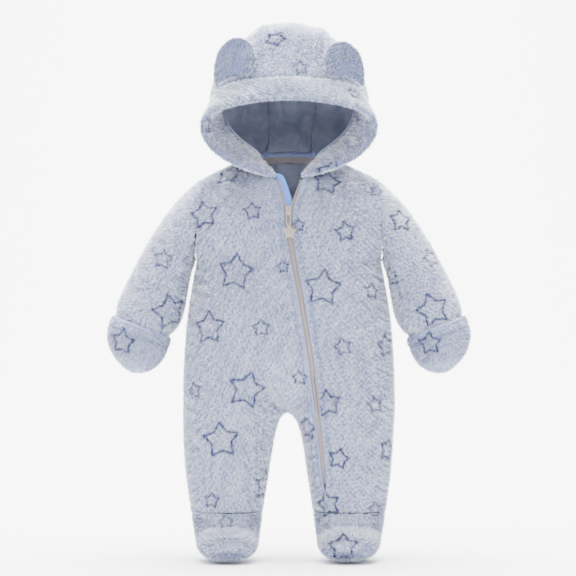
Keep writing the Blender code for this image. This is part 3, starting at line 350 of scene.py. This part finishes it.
def scattered(face, per_mm2, chance):
    """Even random places on a face, and the way that it faces there."""
    face.calc_loop_triangles()
    corners = np.zeros(len(face.loop_triangles) * 3, np.int64)
    face.loop_triangles.foreach_get("vertices", corners)
    corners = corners.reshape(-1, 3)
    spots, facing = np.zeros(len(face.vertices) * 3), np.zeros(len(face.vertices) * 3)
    face.vertices.foreach_get("co", spots)
    face.vertices.foreach_get("normal", facing)
    spots, facing = spots.reshape(-1, 3), facing.reshape(-1, 3)
    a, b, c = (spots[corners[:, k]] for k in range(3))
    areas = np.linalg.norm(np.cross(b - a, c - a), axis=1) / 2
    count = min(int(areas.sum() / MM ** 2 * per_mm2), MOST_FIBRES)
    ladder = np.cumsum(areas)
    pick = np.searchsorted(ladder, (np.arange(count) + chance.random(count)) / count * ladder[-1])
    pick = np.minimum(pick, len(areas) - 1)
    r, s = chance.random(count), chance.random(count)
    over = r + s > 1
    r[over], s[over] = 1 - r[over], 1 - s[over]
    share = np.stack((1 - r - s, r, s), 1)[:, :, None]
    normal = (facing[corners[pick]] * share).sum(1)
    return (spots[corners[pick]] * share).sum(1), normal / np.linalg.norm(normal, axis=1)[:, None]


def edge_lines(face):
    """The face's free edges as runs with two ends, in a list of one or none."""
    shape = bmesh.new()
    shape.from_mesh(face)
    ends = [np.array([v.co for v in e.verts]) for e in shape.edges if e.is_boundary]
    shape.free()
    return [np.array(ends)] if ends else []


def line_gap(points, runs, far):
    """How far each point lies from the nearest of these straight runs, up to far."""
    gap = np.full(len(points), far)
    for start, end in runs:
        run = end - start
        near = np.nonzero(np.abs(points - (start + end) / 2).max(1) < far + np.linalg.norm(run) / 2)[0]
        way = points[near] - start
        share = np.clip(way @ run / max(run @ run, 1e-12), 0, 1)
        gap[near] = np.minimum(gap[near], np.linalg.norm(way - share[:, None] * run, axis=1))
    return gap


def flattened(point, lines):
    """The share of its height that the pile keeps at each point, and how shaded it is there."""
    low, dark = np.ones(len(point)), np.zeros(len(point))
    for line, width, depth, shading in lines:
        near = np.exp(-(line_gap(point, line, width * 1.2) / (width * 0.55)) ** 2)
        low *= 1 - depth * near
        dark = np.maximum(dark, shading * near)
    return low, dark


def brushed(name, face, per_mm2, comb=DOWN, height=PILE, under=UNDER, tip=TIP, printed=True,
            pressed=(), seed=1, seams=True, whorl=0.3, crisp=1.0):
    """Pile on a face: one tapered fibre tuft after another, rooted in the ground and brushed one
    way, shorter beside seams and along the pressed lines."""
    chance = np.random.default_rng(seed)
    point, normal = scattered(face, per_mm2, chance)
    count = len(point)
    seam_lines = [Press(line, **SEAM) for line in (edge_lines(face) if seams else [])]
    low, dark = flattened(point, seam_lines + list(pressed))

    # which way each fibre is brushed, and how far it lies over
    comb = np.asarray(comb, float)
    way = comb - normal * (normal @ comb)[:, None]
    way += normal[:, [1, 2, 0]] * 0.02
    way -= normal * (way * normal).sum(1)[:, None]
    way /= np.maximum(np.linalg.norm(way, axis=1), 1e-9)[:, None]
    tuft = mottle(point, TUFT, seed + 5)
    swirl = whorl * mottle(point, 11 * MM, seed + 1) + 0.7 * mottle(point, 4.5 * MM, seed + 6)
    swirl += chance.normal(0, 0.3, count)
    side = np.cross(normal, way)
    way = way * np.cos(swirl)[:, None] + side * np.sin(swirl)[:, None]
    tilt = LEAN - 11 * tuft + 4 * mottle(point, 9 * MM, seed + 2) + chance.normal(0, 5, count)
    tilt = np.clip(np.radians(tilt), math.radians(12), math.radians(84))
    fibre = normal * np.cos(tilt)[:, None] + way * np.sin(tilt)[:, None]

    # its length and width, and so its three corners
    rise = math.cos(math.radians(LEAN))
    length = height / rise * (0.96 + 0.36 * chance.random(count)) * (1 + 0.1 * tuft)
    length = np.minimum(length * low, height * 1.45 / np.maximum(np.cos(tilt), 0.2))
    twist = chance.normal(0, 0.5, count)
    side = np.cross(normal, way)
    width = side * np.cos(twist)[:, None] + way * np.sin(twist)[:, None]
    width *= (0.95 * MM / math.sqrt(per_mm2) * chance.uniform(0.8, 1.35, count))[:, None]
    foot = point - normal * (height * (1 - 0.25 * (1 - low)))[:, None]
    halfway, end = foot + fibre * length[:, None] / 2, foot + fibre * length[:, None]
    spot = np.stack((foot - width / 2, foot + width / 2, end), 1).reshape(-1, 3)

    # its colour: painted shade in the dents between tufts and along seams and pressed lines, painted
    # light where it faces up, navy where printed
    tone = 1 + 0.08 * chance.normal(0, 1, count) + 0.035 * mottle(point, 40 * MM, seed + 4)
    # painted shade: the pile is darker where it is pressed low
    tone = np.clip(tone * (0.86 + 0.14 * low), 0.6, 1.2)[:, None]
    dent_shade = np.clip(crisp * (0.05 - 1.3 * tuft + chance.normal(0, 0.3, count)), 0, 0.9)
    dent_shade += dark * (0.8 + 0.5 * mottle(point, 3.5 * MM, seed + 7))
    # painted light where the pile faces up: less painted shade there, and paler roots
    painted_top_light = np.clip(normal[:, 2], 0, 1)[:, None]
    dent_shade = np.clip(dent_shade, 0, 0.95)[:, None] * (1 - 0.65 * painted_top_light)
    shown = tip * (1 - dent_shade) + np.minimum(SHADE, tip * 0.5) * dent_shade
    ink = star_print(end, normal, chance)[:, None] if printed else 0.0
    root_ink = star_print(halfway, normal, chance)[:, None] if printed else 0.0
    root = under * (1 - 0.7 * painted_top_light) + tip * 0.7 * painted_top_light
    root_colour = root * tone * (1 - root_ink) + NAVY * root_ink
    tip_colour = np.minimum(shown * tone, 0.97) * (1 - ink) + NAVY_TIP * ink
    colour = np.stack((root_colour, root_colour, tip_colour), 1).reshape(-1, 3)
    return fibres(name, spot, colour, behind=normal[:, 1] > 0)


def fibres(name, spot, colour, behind):
    """One mesh of three-cornered fibres with their colours. In its chart, the fibres that face
    forward have the left half and those behind have the right half."""
    count = len(spot) // 3
    mesh = bpy.data.meshes.new(name)
    mesh.vertices.add(3 * count)
    mesh.vertices.foreach_set("co", spot.ravel().astype(np.float32))
    mesh.loops.add(3 * count)
    mesh.loops.foreach_set("vertex_index", np.arange(3 * count, dtype=np.int32))
    mesh.polygons.add(count)
    mesh.polygons.foreach_set("loop_start", np.arange(0, 3 * count, 3, dtype=np.int32))
    mesh.update(calc_edges=True)
    dye = mesh.color_attributes.new("pile_colour_shade_and_light", "FLOAT_COLOR", "POINT")
    opaque = np.hstack((colour, np.ones((3 * count, 1))))
    dye.data.foreach_set("color", opaque.ravel().astype(np.float32))
    low, high = spot.min(0), spot.max(0)
    flat = (spot - low) / np.maximum(high - low, 1e-6)
    upright = high[2] - low[2] > 40 * MM
    across = np.where(behind, 0.5, 0.0).repeat(3) + flat[:, 0] * 0.5
    chart = mesh.uv_layers.new(name="OFBake")
    sheet = np.stack((across, flat[:, 2] if upright else flat[:, 1]), 1)
    chart.data.foreach_set("uv", sheet.ravel().astype(np.float32))
    mesh.materials.append(PILE_FINISH)
    return put(name, mesh)


def plush_panel(node, face, flat, area, per_mm2, **brushing):
    """A panel of the fleece: its ground and the pile on it. The flat size and area are not used."""
    ground = sewn_cloth(node + "_ground", face, GROUND, GROUND_FINISH, depth=PILE)
    pile = brushed(node + "_pile", face, per_mm2, **brushing)
    for piece in (ground, pile):
        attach(piece, "suit")
    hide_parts(node)


# The way of the front opening, and the stitching beside it that holds the zip
Way = namedtuple("Way", "z middle half_gap")
ZIP_WAY = (Way(-22, 1.0, 20.5), Way(-45, 0.3, 13.0), Way(-66, -0.8, 5.9), Way(-105, 1.8, 5.5),
           Way(-140, 7.4, 5.5), Way(-182, 16.0, 5.5), Way(-231, 24.0, 5.5), Way(-277, 31.5, 5.5),
           Way(-322, 36.5, 5.5), Way(-368, 40.5, 5.5), Way(-413, 44.5, 5.5), Way(-450, 48.5, 5.3))


def way_at(z):
    """The zip's middle and its half gap at this height."""
    rows = sorted(ZIP_WAY)
    return [np.interp(z, [r.z for r in rows], column) for column in list(zip(*rows))[1:]]


def solid_tree(node):
    """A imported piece's faces, to lay things on."""
    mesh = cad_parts[node].data
    return BVHTree.FromPolygons([v.co.copy() for v in mesh.vertices],
                                [list(p.vertices) for p in mesh.polygons])


def runs(points):
    """The straight runs from each point to the next."""
    return np.array(list(zip(points, points[1:])))


def laid_on(node, places):
    """A line through places seen from the front, as short runs on this piece's face."""
    piece = solid_tree(node)
    spots = [piece.ray_cast(Vector((x * MM, -1, z * MM)), Vector((0, 1, 0)))[0] for x, z in places]
    return runs([spot for spot in spots if spot is not None])


def stitched(node, side, *more):
    """The line of stitching on one front panel beside the zip."""
    places = []
    for z in np.arange(-34, -456, -4.0):
        middle, half_gap = way_at(z)
        places.append((middle + side * (half_gap + 6.5), z))
    return laid_on(node, places + list(more))


BODY_LINES = (((0, 0, -290), (0, 0, -90)),            # up the trunk
              ((-85, 0, -72), (85, 0, -72)),          # across the shoulders
              ((-68, 0, -340), (-86, -4, -492)),      # down each leg
              ((66, 0, -340), (84, -4, -492)))
LEG_END = ((49, -459), (41, -456))                    # the stitching turns in below the zip
# beside the zip the pile is pressed low along the stitching, with painted shade along it
plush_panel("front_right", outer_face("front_right", *BODY_LINES), flat=(0.25, 0.51), area=0.098,
            per_mm2=1.22, seed=11,
            pressed=[Press(stitched("front_right", -1), width=4 * MM, depth=0.45, shading=0.5)])
plush_panel("front_left", outer_face("front_left", *BODY_LINES), flat=(0.19, 0.51), area=0.070,
            per_mm2=1.3, seed=12,
            pressed=[Press(stitched("front_left", 1, *LEG_END), width=4 * MM, depth=0.45, shading=0.65)])
plush_panel("back", outer_face("back", *BODY_LINES), flat=(0.43, 0.60), area=0.19,
            per_mm2=0.6, seed=13)
for side, name in ((-1, "right"), (1, "left")):
    arm = ((side * 128, 0, -72), (side * 190, 0, -165), (side * 216, 0, -245))
    plush_panel("sleeve_" + name, outer_face("sleeve_" + name, arm), flat=(0.27, 0.19), area=0.042,
                per_mm2=1.1, comb=(side * 0.45, 0, -0.9), seed=14 + side)

# --- The feet -----------------------------------------------------------------------------------
# Each foot is a rounded top piece sewn to the leg and to a flat sole, all in the same fleece. The seam
# round the toes shows as a dark fuzzy line of painted shade in its furrow.
for side, name, middle in ((-1, "right", -85), (1, "left", 83)):
    foot = ((middle, -10, -512), (middle, -52, -532), (middle, -92, -538))
    plush_panel("foot_top_" + name, outer_face("foot_top_" + name, foot), flat=(0.15, 0.13),
                area=0.0125, per_mm2=1.25, comb=(0, -0.75, -0.6), seed=21 + side)
    plush_panel("sole_" + name, outer_face("sole_" + name, foot), flat=(0.095, 0.13),
                area=0.0098, per_mm2=0.7, comb=(0, -1, 0), seed=24 + side)

# --- The mitts ----------------------------------------------------------------------------------
# A fold-over mitt closes each sleeve: a deep pouch of fleece whose hemmed mouth lies round the wrist.
# The hem's stitching presses a line into the pile, with painted shade along it.
MITT_MOUTH, MITT_DOWN = (208.5, 0.0, -229.5), (0.366, 0.0, -0.9306)
HEM = 13.0                                 # from the mouth to the stitching
HEM_ACROSS, HEM_FORWARD = 47, 42.5         # half the pouch's width and depth there
for side, name in ((-1, "right"), (1, "left")):
    mouth = Vector((side * MITT_MOUTH[0], 0, MITT_MOUTH[2]))
    down = Vector((side * MITT_DOWN[0], 0, MITT_DOWN[2]))
    across = Vector((-side * MITT_DOWN[2], 0, MITT_DOWN[0]))
    ring = [mouth + down * HEM + across * HEM_ACROSS * math.cos(t)
            + Vector((0, -1, 0)) * HEM_FORWARD * math.sin(t) for t in np.linspace(0, 2 * math.pi, 33)]
    plush_panel("mitt_" + name, outer_face("mitt_" + name, (mouth, mouth + down * 50)),
                flat=(0.27, 0.075), area=0.0165, per_mm2=1.3, comb=down, seed=31 + side,
                tip=TIP * (0.68, 0.68, 0.71),
                pressed=[Press(runs([p * MM for p in ring]), width=4 * MM, depth=0.55, shading=0.4)])

# --- The hood -----------------------------------------------------------------------------------
# Two side panels and a centre panel in the fleece, joined by two seams over the head, with the
# pile brushed down.
HOOD_LINES = ((-30, 2, 85), (30, 2, 85)), ((0, 2, 60), (0, 2, 100))
for name, flat, seed in (("hood_side_right", (0.24, 0.16), 56), ("hood_side_left", (0.24, 0.16), 55),
                         ("hood_centre", (0.115, 0.29), 52)):
    plush_panel(name, outer_face(name, *HOOD_LINES), flat=flat, area=0.031, per_mm2=1.2,
                comb=(0, -0.1, -1), seed=seed, tip=TIP * 1.06)

# --- The brim -----------------------------------------------------------------------------------
# A wide band of fleece, sewn to the hood's front, rolled forward over its own seam allowance and turned
# in to face the hood's edge. Painted shade darkens the pile along its lip, where the roll turns under.


def both_sides(half):
    """A line over the hood from ear to ear, from its half on the wearer's left."""
    return [(-x, y, z) for x, y, z in half] + list(half[::-1][1:])


BRIM_CORE = ((36, -51, -11), (74, -51, 12), (94, -49, 29), (110, -49, 71), (104, -57, 89),
             (82.4, -71, 99), (44.4, -84, 104), (0, -88, 106.5))
LIP = ((20.5, -65, -22), (44, -74, -13), (76, -76, -1), (105, -72, 13), (122, -70, 33),
       (126, -76, 55), (114, -91, 70), (86, -104, 78), (46, -111, 84), (0, -113, 87))
lip = runs([Vector(p) * MM for p in both_sides(LIP)])
plush_panel("hood_brim", outer_face("hood_brim", both_sides(BRIM_CORE)), flat=(0.60, 0.12),
            area=0.055, per_mm2=1.4, seed=51, whorl=0.4,
            pressed=[Press(lip, width=15 * MM, depth=0.0, shading=0.75)])

# --- The ears -----------------------------------------------------------------------------------
# Two cupped bear ears of shorter fleece, each a front and a back sewn round the edge, caught in the
# brim's seam and creased where they cup, with painted shade along each crease.
EAR_PILE, EAR_GROUND = 2.4 * MM, 2.2 * MM      # the pile's height, and how deep its ground lies
EAR_UNDER, EAR_TIP = np.array((0.12, 0.15, 0.28)), np.array((0.58, 0.62, 0.72))
EAR_CREASES = {"right": ((-72, 112), (-75, 124), (-75, 138), (-71, 152), (-66, 161)),
               "left": ((70, 112), (73, 124), (79, 134), (86, 138), (92, 136))}
for side, name in ((-1, "right"), (1, "left")):
    face = outer_face("ear_" + name, whole=True)
    crease = laid_on("ear_" + name, EAR_CREASES[name])
    ground = sewn_cloth(f"ear_{name}_ground", face, 0.0, GROUND_FINISH, depth=EAR_GROUND, reach=0)
    pile = brushed(f"ear_{name}_pile", face, 2.2, height=EAR_PILE, under=EAR_UNDER, tip=EAR_TIP,
                   printed=False, seams=False, seed=61 + side, crisp=1.3,
                   pressed=[Press(crease, width=9 * MM, depth=0.75, shading=0.85)])
    for piece in (ground, pile):
        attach(piece, "suit")
    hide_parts("ear_" + name)

# --- The linings --------------------------------------------------------------------------------
# Grey-blue velour behind the hood in three panels, and down the back below the neck. A woven tape
# covers the seam between them.


def velour():
    """Short dense nap: nearly matt, lighter at grazing edges, with soft brushed patches."""
    made, nodes, links, shader = new_finish("velour")
    place = nodes.new("ShaderNodeTexCoord")
    nap = nodes.new("ShaderNodeTexNoise")
    nap.inputs["Scale"].default_value = 900
    nap.inputs["Detail"].default_value = 3
    patch = nodes.new("ShaderNodeTexNoise")
    patch.inputs["Scale"].default_value = 38
    patch.inputs["Detail"].default_value = 6
    patch.inputs["Distortion"].default_value = 0.8
    tone = nodes.new("ShaderNodeValToRGB")
    tone.color_ramp.elements[0].position = 0.3
    tone.color_ramp.elements[1].position = 0.72
    tone.color_ramp.elements[0].color = (0.145, 0.16, 0.235, 1)
    tone.color_ramp.elements[1].color = (0.26, 0.28, 0.37, 1)
    links.new(place.outputs["Object"], nap.inputs["Vector"])
    links.new(place.outputs["Object"], patch.inputs["Vector"])
    links.new(patch.outputs["Fac"], tone.inputs["Fac"])
    links.new(tone.outputs["Color"], shader.inputs["Base Color"])
    raise_grain(nodes, links, shader, nap.outputs["Fac"], 0.6, 0.6 * MM)
    shader.inputs["Roughness"].default_value = 0.9
    shader.inputs["Specular IOR Level"].default_value = 0.15
    shader.inputs["Sheen Weight"].default_value = 0.6
    shader.inputs["Sheen Roughness"].default_value = 0.4
    shader.inputs["Sheen Tint"].default_value = (0.75, 0.8, 0.95, 1)
    return made


VELOUR = velour()
VELOUR_THICKNESS = 0.8 * MM


def inner_face(node, spine):
    """A lining's face toward the inside: what looks at the spine."""
    face = outer_face(node, whole=True)
    shape = bmesh.new()
    shape.from_mesh(face)
    line = [Vector(p) * MM for p in spine]
    away = [f for f in shape.faces
            if f.normal.dot(spine_gap(f.calc_center_median(), line).normalized()) > -0.25]
    bmesh.ops.delete(shape, geom=away, context="FACES")
    shape.to_mesh(face)
    shape.free()
    return face


def lining(node, spine):
    """A panel of velour whose nap looks at a line inside the suit."""
    cloth = sewn_cloth(node + "_velour", inner_face(node, spine), VELOUR_THICKNESS, VELOUR)
    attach(cloth, "suit")
    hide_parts(node)


IN_THE_HOOD, IN_THE_CHEST = ((-20, 2, 80), (20, 2, 80)), ((-60, -10, -55), (60, -10, -55))
lining("hood_lining_side_right", IN_THE_HOOD)
lining("hood_lining_side_left", IN_THE_HOOD)
lining("hood_lining_centre", IN_THE_HOOD)
lining("back_lining", IN_THE_CHEST)


def woven(name, light, dark, ribs_per_m):
    """A woven tape: fine ribs along its length, crossed by the weft."""
    made, nodes, links, shader = new_finish(name)
    place = nodes.new("ShaderNodeTexCoord")
    rib = nodes.new("ShaderNodeTexWave")
    rib.bands_direction = "X"
    rib.inputs["Scale"].default_value = ribs_per_m
    rib.inputs["Distortion"].default_value = 0.6
    weft = nodes.new("ShaderNodeTexWave")
    weft.bands_direction = "Z"
    weft.inputs["Scale"].default_value = ribs_per_m * 0.8
    both = nodes.new("ShaderNodeMath")
    both.operation = "MULTIPLY"
    tone = nodes.new("ShaderNodeValToRGB")
    tone.color_ramp.elements[0].color = (*dark, 1)
    tone.color_ramp.elements[1].color = (*light, 1)
    for wave in (rib, weft):
        links.new(place.outputs["Object"], wave.inputs["Vector"])
    links.new(rib.outputs["Fac"], both.inputs[0])
    links.new(weft.outputs["Fac"], both.inputs[1])
    links.new(both.outputs["Value"], tone.inputs["Fac"])
    links.new(tone.outputs["Color"], shader.inputs["Base Color"])
    raise_grain(nodes, links, shader, both.outputs["Value"], 0.5, 0.4 * MM)
    shader.inputs["Roughness"].default_value = 0.8
    shader.inputs["Sheen Weight"].default_value = 0.2
    return made


def dress(node, finish):
    """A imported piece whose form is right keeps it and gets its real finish."""
    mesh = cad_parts[node].data
    mesh.materials.clear()
    mesh.materials.append(finish)


dress("neck_tape", woven("neck_tape_weave", (0.34, 0.31, 0.32), (0.22, 0.20, 0.21), 260))

# --- The zip ------------------------------------------------------------------------------------
# A metal zip from the neck into the wearer's left leg. Its woven tapes are sewn under the panels'
# edges, part above the slider, and a row of pressed teeth is clamped on each tape's inner edge.
TAPE_WEAVE = woven("zip_tape_weave", (0.33, 0.29, 0.30), (0.19, 0.165, 0.18), 300)
for node in ("zip_tape_right", "zip_tape_left"):
    dress(node, TAPE_WEAVE)

TOP_TOOTH_Z, SLIDER_Z, ZIP_FOOT_Z = -23.0, -66, -450
TAPE_SHOWS = 5.1                   # the tape's width beside the panel's edge
MEETING = 0.7                      # from the zip's middle to each tape's edge where it is closed
TOOTH_PITCH = 2.9
TOOTH = (2.9, 1.6, 1.15)           # across the zip, front to back, and along it
TOOTH_BEVEL = 0.22 * MM


def zip_metal(name, colour, roughness):
    """Plated zip metal with fine wear in its polish."""
    made, nodes, links, shader = new_finish(name)
    place = nodes.new("ShaderNodeTexCoord")
    wear = nodes.new("ShaderNodeTexNoise")
    wear.inputs["Scale"].default_value = 700
    wear.inputs["Detail"].default_value = 5
    rough = nodes.new("ShaderNodeMapRange")
    rough.inputs["To Min"].default_value = roughness - 0.1
    rough.inputs["To Max"].default_value = roughness + 0.15
    tone = nodes.new("ShaderNodeValToRGB")
    tone.color_ramp.elements[0].color = (*[c * 0.8 for c in colour], 1)
    tone.color_ramp.elements[1].color = (*colour, 1)
    links.new(place.outputs["Object"], wear.inputs["Vector"])
    links.new(wear.outputs["Fac"], rough.inputs["Value"])
    links.new(rough.outputs["Result"], shader.inputs["Roughness"])
    links.new(wear.outputs["Fac"], tone.inputs["Fac"])
    links.new(tone.outputs["Color"], shader.inputs["Base Color"])
    shader.inputs["Metallic"].default_value = 1.0
    return made


def tape_edge(z, side):
    """How far along X a tape's inner edge lies at this height."""
    middle, half_gap = way_at(z)
    return middle + side * max(half_gap - TAPE_SHOWS, MEETING)


def zip_teeth():
    """Pressed teeth on both tapes' edges, with those of the left tape half a pitch lower."""
    shape = bmesh.new()
    for side, node in ((-1, "zip_tape_right"), (1, "zip_tape_left")):
        tape = solid_tree(node)
        z = TOP_TOOTH_Z - (TOOTH_PITCH / 2 if side > 0 else 0)
        while z > ZIP_FOOT_Z + 2:
            edge = tape_edge(z, side)
            closed = z < SLIDER_Z - 2
            x = edge + side * (0.1 if closed else 0.6)
            hit = tape.ray_cast(Vector(((edge + side * 1.0) * MM, -0.3, z * MM)), Vector((0, 1, 0)))[0]
            if hit is not None:
                slope = math.atan2(tape_edge(z - 4, side) - edge, 4)
                cos, sin = math.cos(slope), math.sin(slope)
                for vert in bmesh.ops.create_cube(shape, size=1.0)["verts"]:
                    u, v, w = (c * s for c, s in zip(vert.co, TOOTH))
                    u *= 1.0 if vert.co.y > 0 else 0.8
                    y = hit.y + (v - TOOTH[1] * 0.42) * MM
                    vert.co = Vector(((x + u * cos - w * sin) * MM, y, (z - u * sin - w * cos) * MM))
            z -= TOOTH_PITCH
    bmesh.ops.recalc_face_normals(shape, faces=shape.faces)
    bmesh.ops.bevel(shape, geom=shape.edges[:], offset=TOOTH_BEVEL, segments=1, affect="EDGES")
    mesh = bpy.data.meshes.new("zip_teeth")
    shape.to_mesh(mesh)
    shape.free()
    mesh.materials.append(zip_metal("tooth_metal", (0.60, 0.58, 0.56), 0.34))
    teeth = put("zip_teeth", mesh)
    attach(teeth, "suit")


zip_teeth()
SLIDER_METAL = zip_metal("slider_metal", (0.52, 0.47, 0.38), 0.3)
dress("zip_slider", SLIDER_METAL)
dress("zip_pull", SLIDER_METAL)


def jersey():
    """Bright blue knitted jersey of the guard."""
    made, nodes, links, shader = new_finish("guard_jersey")
    place = nodes.new("ShaderNodeTexCoord")
    wale = nodes.new("ShaderNodeTexWave")
    wale.bands_direction = "X"
    wale.inputs["Scale"].default_value = 180
    wale.inputs["Distortion"].default_value = 2.0
    wale.inputs["Detail"].default_value = 3
    tone = nodes.new("ShaderNodeValToRGB")
    tone.color_ramp.elements[0].color = (0.055, 0.145, 0.50, 1)
    tone.color_ramp.elements[1].color = (0.10, 0.22, 0.62, 1)
    links.new(place.outputs["Object"], wale.inputs["Vector"])
    links.new(wale.outputs["Fac"], tone.inputs["Fac"])
    links.new(tone.outputs["Color"], shader.inputs["Base Color"])
    raise_grain(nodes, links, shader, wale.outputs["Fac"], 0.4, 0.4 * MM)
    shader.inputs["Roughness"].default_value = 0.8
    shader.inputs["Sheen Weight"].default_value = 0.3
    return made


dress("zip_guard", jersey())

# --- The room -----------------------------------------------------------------------------------
# A white paper sweep, soft lamps in front, at one side and above, one more on the paper behind, and
# a long lens level with the suit's middle. This section is in metres.
FLOOR_Z = cad_box[0][2] - 0.0005
SWEEP_HALF_WIDTH, BEND_Y, BEND_RADIUS = 6.0, 1.2, 1.2
profile = [(-3.0, 0.0), (BEND_Y, 0.0)]
profile += [(BEND_Y + BEND_RADIUS * math.sin(t), BEND_RADIUS - BEND_RADIUS * math.cos(t))
            for t in np.linspace(0.15, math.pi / 2, 10)]
profile += [(BEND_Y + BEND_RADIUS, 5.0)]
shape = bmesh.new()
near, far = ([shape.verts.new((x, y, FLOOR_Z + z)) for y, z in profile]
             for x in (-SWEEP_HALF_WIDTH, SWEEP_HALF_WIDTH))
for k in range(len(profile) - 1):
    shape.faces.new((near[k], far[k], far[k + 1], near[k + 1]))
mesh = bpy.data.meshes.new("sweep")
shape.to_mesh(mesh)
shape.free()
mesh.shade_smooth()
paper, nodes, links, shader = new_finish("white_paper")
shader.inputs["Base Color"].default_value = (0.93, 0.93, 0.94, 1)
shader.inputs["Roughness"].default_value = 0.9
# from behind the paper is clear, so that it hides the suit from no side
facing = nodes.new("ShaderNodeNewGeometry")
clear = nodes.new("ShaderNodeBsdfTransparent")
one_way = nodes.new("ShaderNodeMixShader")
links.new(facing.outputs["Backfacing"], one_way.inputs["Fac"])
links.new(shader.outputs["BSDF"], one_way.inputs[1])
links.new(clear.outputs["BSDF"], one_way.inputs[2])
links.new(one_way.outputs["Shader"], nodes["Material Output"].inputs["Surface"])
mesh.materials.append(paper)
put("sweep", mesh)

Lamp = namedtuple("Lamp", "name place size watts aim")
for lamp in (Lamp("front_softbox", (-0.9, -2.6, 1.3), 1.6, 85.0, (0, 0, -0.15)),
             Lamp("fill", (1.8, -2.0, 0.5), 2.0, 30.0, (0, 0, -0.15)),
             Lamp("top", (0.0, -0.6, 2.2), 1.6, 120.0, (0, 0, 0)),
             Lamp("backdrop", (0.0, 0.6, 2.6), 2.5, 700.0, (0, 2.4, 0.2))):
    light = bpy.data.lights.new(lamp.name, "AREA")
    light.size, light.energy = lamp.size, lamp.watts
    holder = put(lamp.name, light)
    holder.location = lamp.place
    holder.rotation_euler = (Vector(lamp.aim) - Vector(lamp.place)).to_track_quat("-Z", "Y").to_euler()
world = bpy.data.worlds.new("room")
bpy.context.scene.world = world
world.use_nodes = True
world.node_tree.nodes["Background"].inputs["Color"].default_value = (0.96, 0.97, 1.0, 1)
world.node_tree.nodes["Background"].inputs["Strength"].default_value = 1.0

SENSOR = 36                                    # millimetres
VIEW_WIDTH, VIEW_DISTANCE = 0.818, 4.0         # what the frame spans at the suit, and from where
VIEW_X, VIEW_Z = -0.0012, -0.1747
lens = bpy.data.cameras.new("camera")
lens.sensor_width = SENSOR
lens.lens = SENSOR * VIEW_DISTANCE / VIEW_WIDTH
camera = put("camera", lens)
camera.location = (VIEW_X, -VIEW_DISTANCE, VIEW_Z)
camera.rotation_euler = (math.pi / 2, 0, 0)
bpy.context.scene.camera = camera
